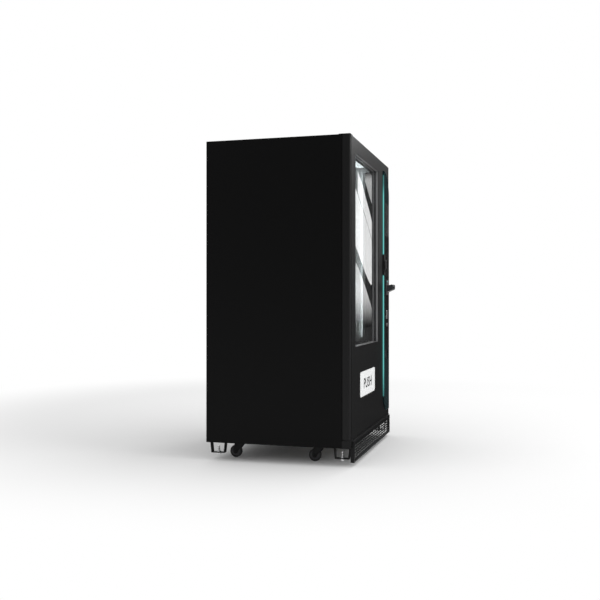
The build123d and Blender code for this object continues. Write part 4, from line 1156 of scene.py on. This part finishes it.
def makeWorld():
    world = bpy.data.worlds.new("studioWorld")
    bpy.context.scene.world = world
    world.use_nodes = True
    world.node_tree.nodes.clear()
    output = addNode(world, "ShaderNodeOutputWorld")
    mix = addNode(world, "ShaderNodeMixShader")
    for place, strength in ((1, studio["worldLight"]), (2, 1.0)):
        background = addNode(world, "ShaderNodeBackground", {"Color": (1, 1, 1, 1), "Strength": strength})
        link(world, background, 0, mix, place)
    link(world, seenRays(world), 0, mix, 0)
    link(world, mix, 0, output, "Surface")


# cards that only gloss and glass see: dark ones as blocks, and slanted soft boxes, as corners (y, z)
# on a plane of one x, whose reflections lie across the window
reflectors = {
    "darkCardLeft": {"strength": 0.05, "low": (-7.51, -9.0, 0.01), "high": (-7.5, 7.0, 7.0)},
    "darkCardRight": {"strength": 0.05, "low": (2.54, -4.2, 0.0), "high": (2.55, -0.47, 2.7)},
    "darkMat": {"strength": 0.05, "low": (-0.5, -4.2, 0.002), "high": (2.54, -0.47, 0.004)},
    "softBoxTop": {
        "planeX": 2.5, "strength": 0.75, "fade": (2.22, 2.12),
        "corners": [(-0.923, 2.18), (-0.891, 2.207), (-0.847, 2.167), (-0.847, 1.861), (-0.862, 1.919),
                    (-0.882, 1.977), (-0.901, 2.045), (-0.921, 2.113)],
    },
    "softBoxHigh": {
        "planeX": 2.5, "strength": 1.4,
        "corners": [(-0.995, 2.222), (-0.97, 2.153), (-0.95, 2.095), (-0.93, 2.017), (-0.911, 1.94),
                    (-0.891, 1.872), (-0.872, 1.795), (-0.857, 1.727), (-0.847, 1.67), (-0.847, 1.526),
                    (-0.857, 1.561), (-0.892, 1.686), (-0.921, 1.787), (-0.95, 1.875), (-0.979, 1.957),
                    (-0.995, 2.01)],
    },
    "softBoxMiddle": {
        "planeX": 2.5, "strength": 1.4,
        "corners": [(-1.019, 2.068), (-0.995, 1.995), (-0.979, 1.946), (-0.95, 1.863), (-0.921, 1.776),
                    (-0.892, 1.675), (-0.857, 1.549), (-0.847, 1.507), (-0.847, 1.076), (-0.862, 1.115),
                    (-0.892, 1.172), (-0.921, 1.24), (-0.95, 1.326), (-0.979, 1.404), (-1.009, 1.481),
                    (-1.019, 1.51)],
    },
    "softBoxLow": {
        "planeX": 2.5, "strength": 1.1, "fade": (0.7, 1.1),
        "corners": [(-0.991, 1.298), (-0.96, 1.211), (-0.931, 1.134), (-0.911, 1.077), (-0.892, 1.009),
                    (-0.872, 0.952), (-0.853, 0.875), (-0.847, 0.732), (-1.019, 0.692), (-1.019, 1.347)],
    },
}


def addReflector(name):
    look = reflectors[name]
    if "corners" in look:
        card = addPlate(name, look["corners"], look["planeX"], studio["cardThickness"])
    else:
        card = addBlock(name, look["low"], look["high"])
    material = bpy.data.materials.new(name)
    material.use_nodes = True
    material.node_tree.nodes.clear()
    output = addNode(material, "ShaderNodeOutputMaterial")
    light = addNode(material, "ShaderNodeEmission", {"Strength": look["strength"]})
    if "fade" in look:
        coordinates = addNode(material, "ShaderNodeTexCoord")
        split = addNode(material, "ShaderNodeSeparateXYZ")
        link(material, coordinates, "Object", split, 0)
        faded = mapRange(material, *look["fade"], 0.0, look["strength"], "SMOOTHSTEP")
        link(material, split, "Z", faded, "Value")
        link(material, faded, "Result", light, "Strength")
    link(material, light, 0, output, "Surface")
    card.data.materials.append(material)
    card.visible_camera = False
    card.visible_diffuse = False
    card.visible_shadow = False


# place, target, size, power and whether gloss sees the lamp
lamps = {
    "overhead": ((0.0, -1.5, 4.2), (0.0, 0.0, 0.9), 3.5, 12.0, True),
    "frontFill": ((-1.0, -5.5, 1.6), (0.0, 0.0, 1.0), 3.0, 150.0, False),
    "doorWash": ((4.9, -1.6, 4.0), (0.6, -0.42, 1.7), 1.6, 60.0, True),
}


def addLamp(name):
    place, target, size, power, inGloss = lamps[name]
    deselectAll()
    bpy.ops.object.light_add(type="AREA", location=place)
    lamp = bpy.context.object
    lamp.name = name
    lamp.data.size = size
    lamp.data.energy = power
    lamp.rotation_mode = "QUATERNION"
    lamp.rotation_quaternion = (Vector(target) - Vector(place)).to_track_quat("-Z", "Y")
    lamp.visible_glossy = inGloss


def makeCamera():
    deselectAll()
    bpy.ops.object.camera_add(
        location=studio["cameraPlace"], rotation=[math.radians(turn) for turn in studio["cameraTurn"]],
    )
    camera = bpy.context.object
    camera.data.lens = studio["cameraLens"]
    camera.data.sensor_width = studio["cameraSensor"]
    camera.data.clip_end = studio["cameraReach"]
    bpy.context.scene.camera = camera


makeFloor()
makeWorld()
for name in reflectors:
    addReflector(name)
for name in lamps:
    addLamp(name)
makeCamera()
bpy.context.scene.view_settings.view_transform = "Standard"
print("studio set")
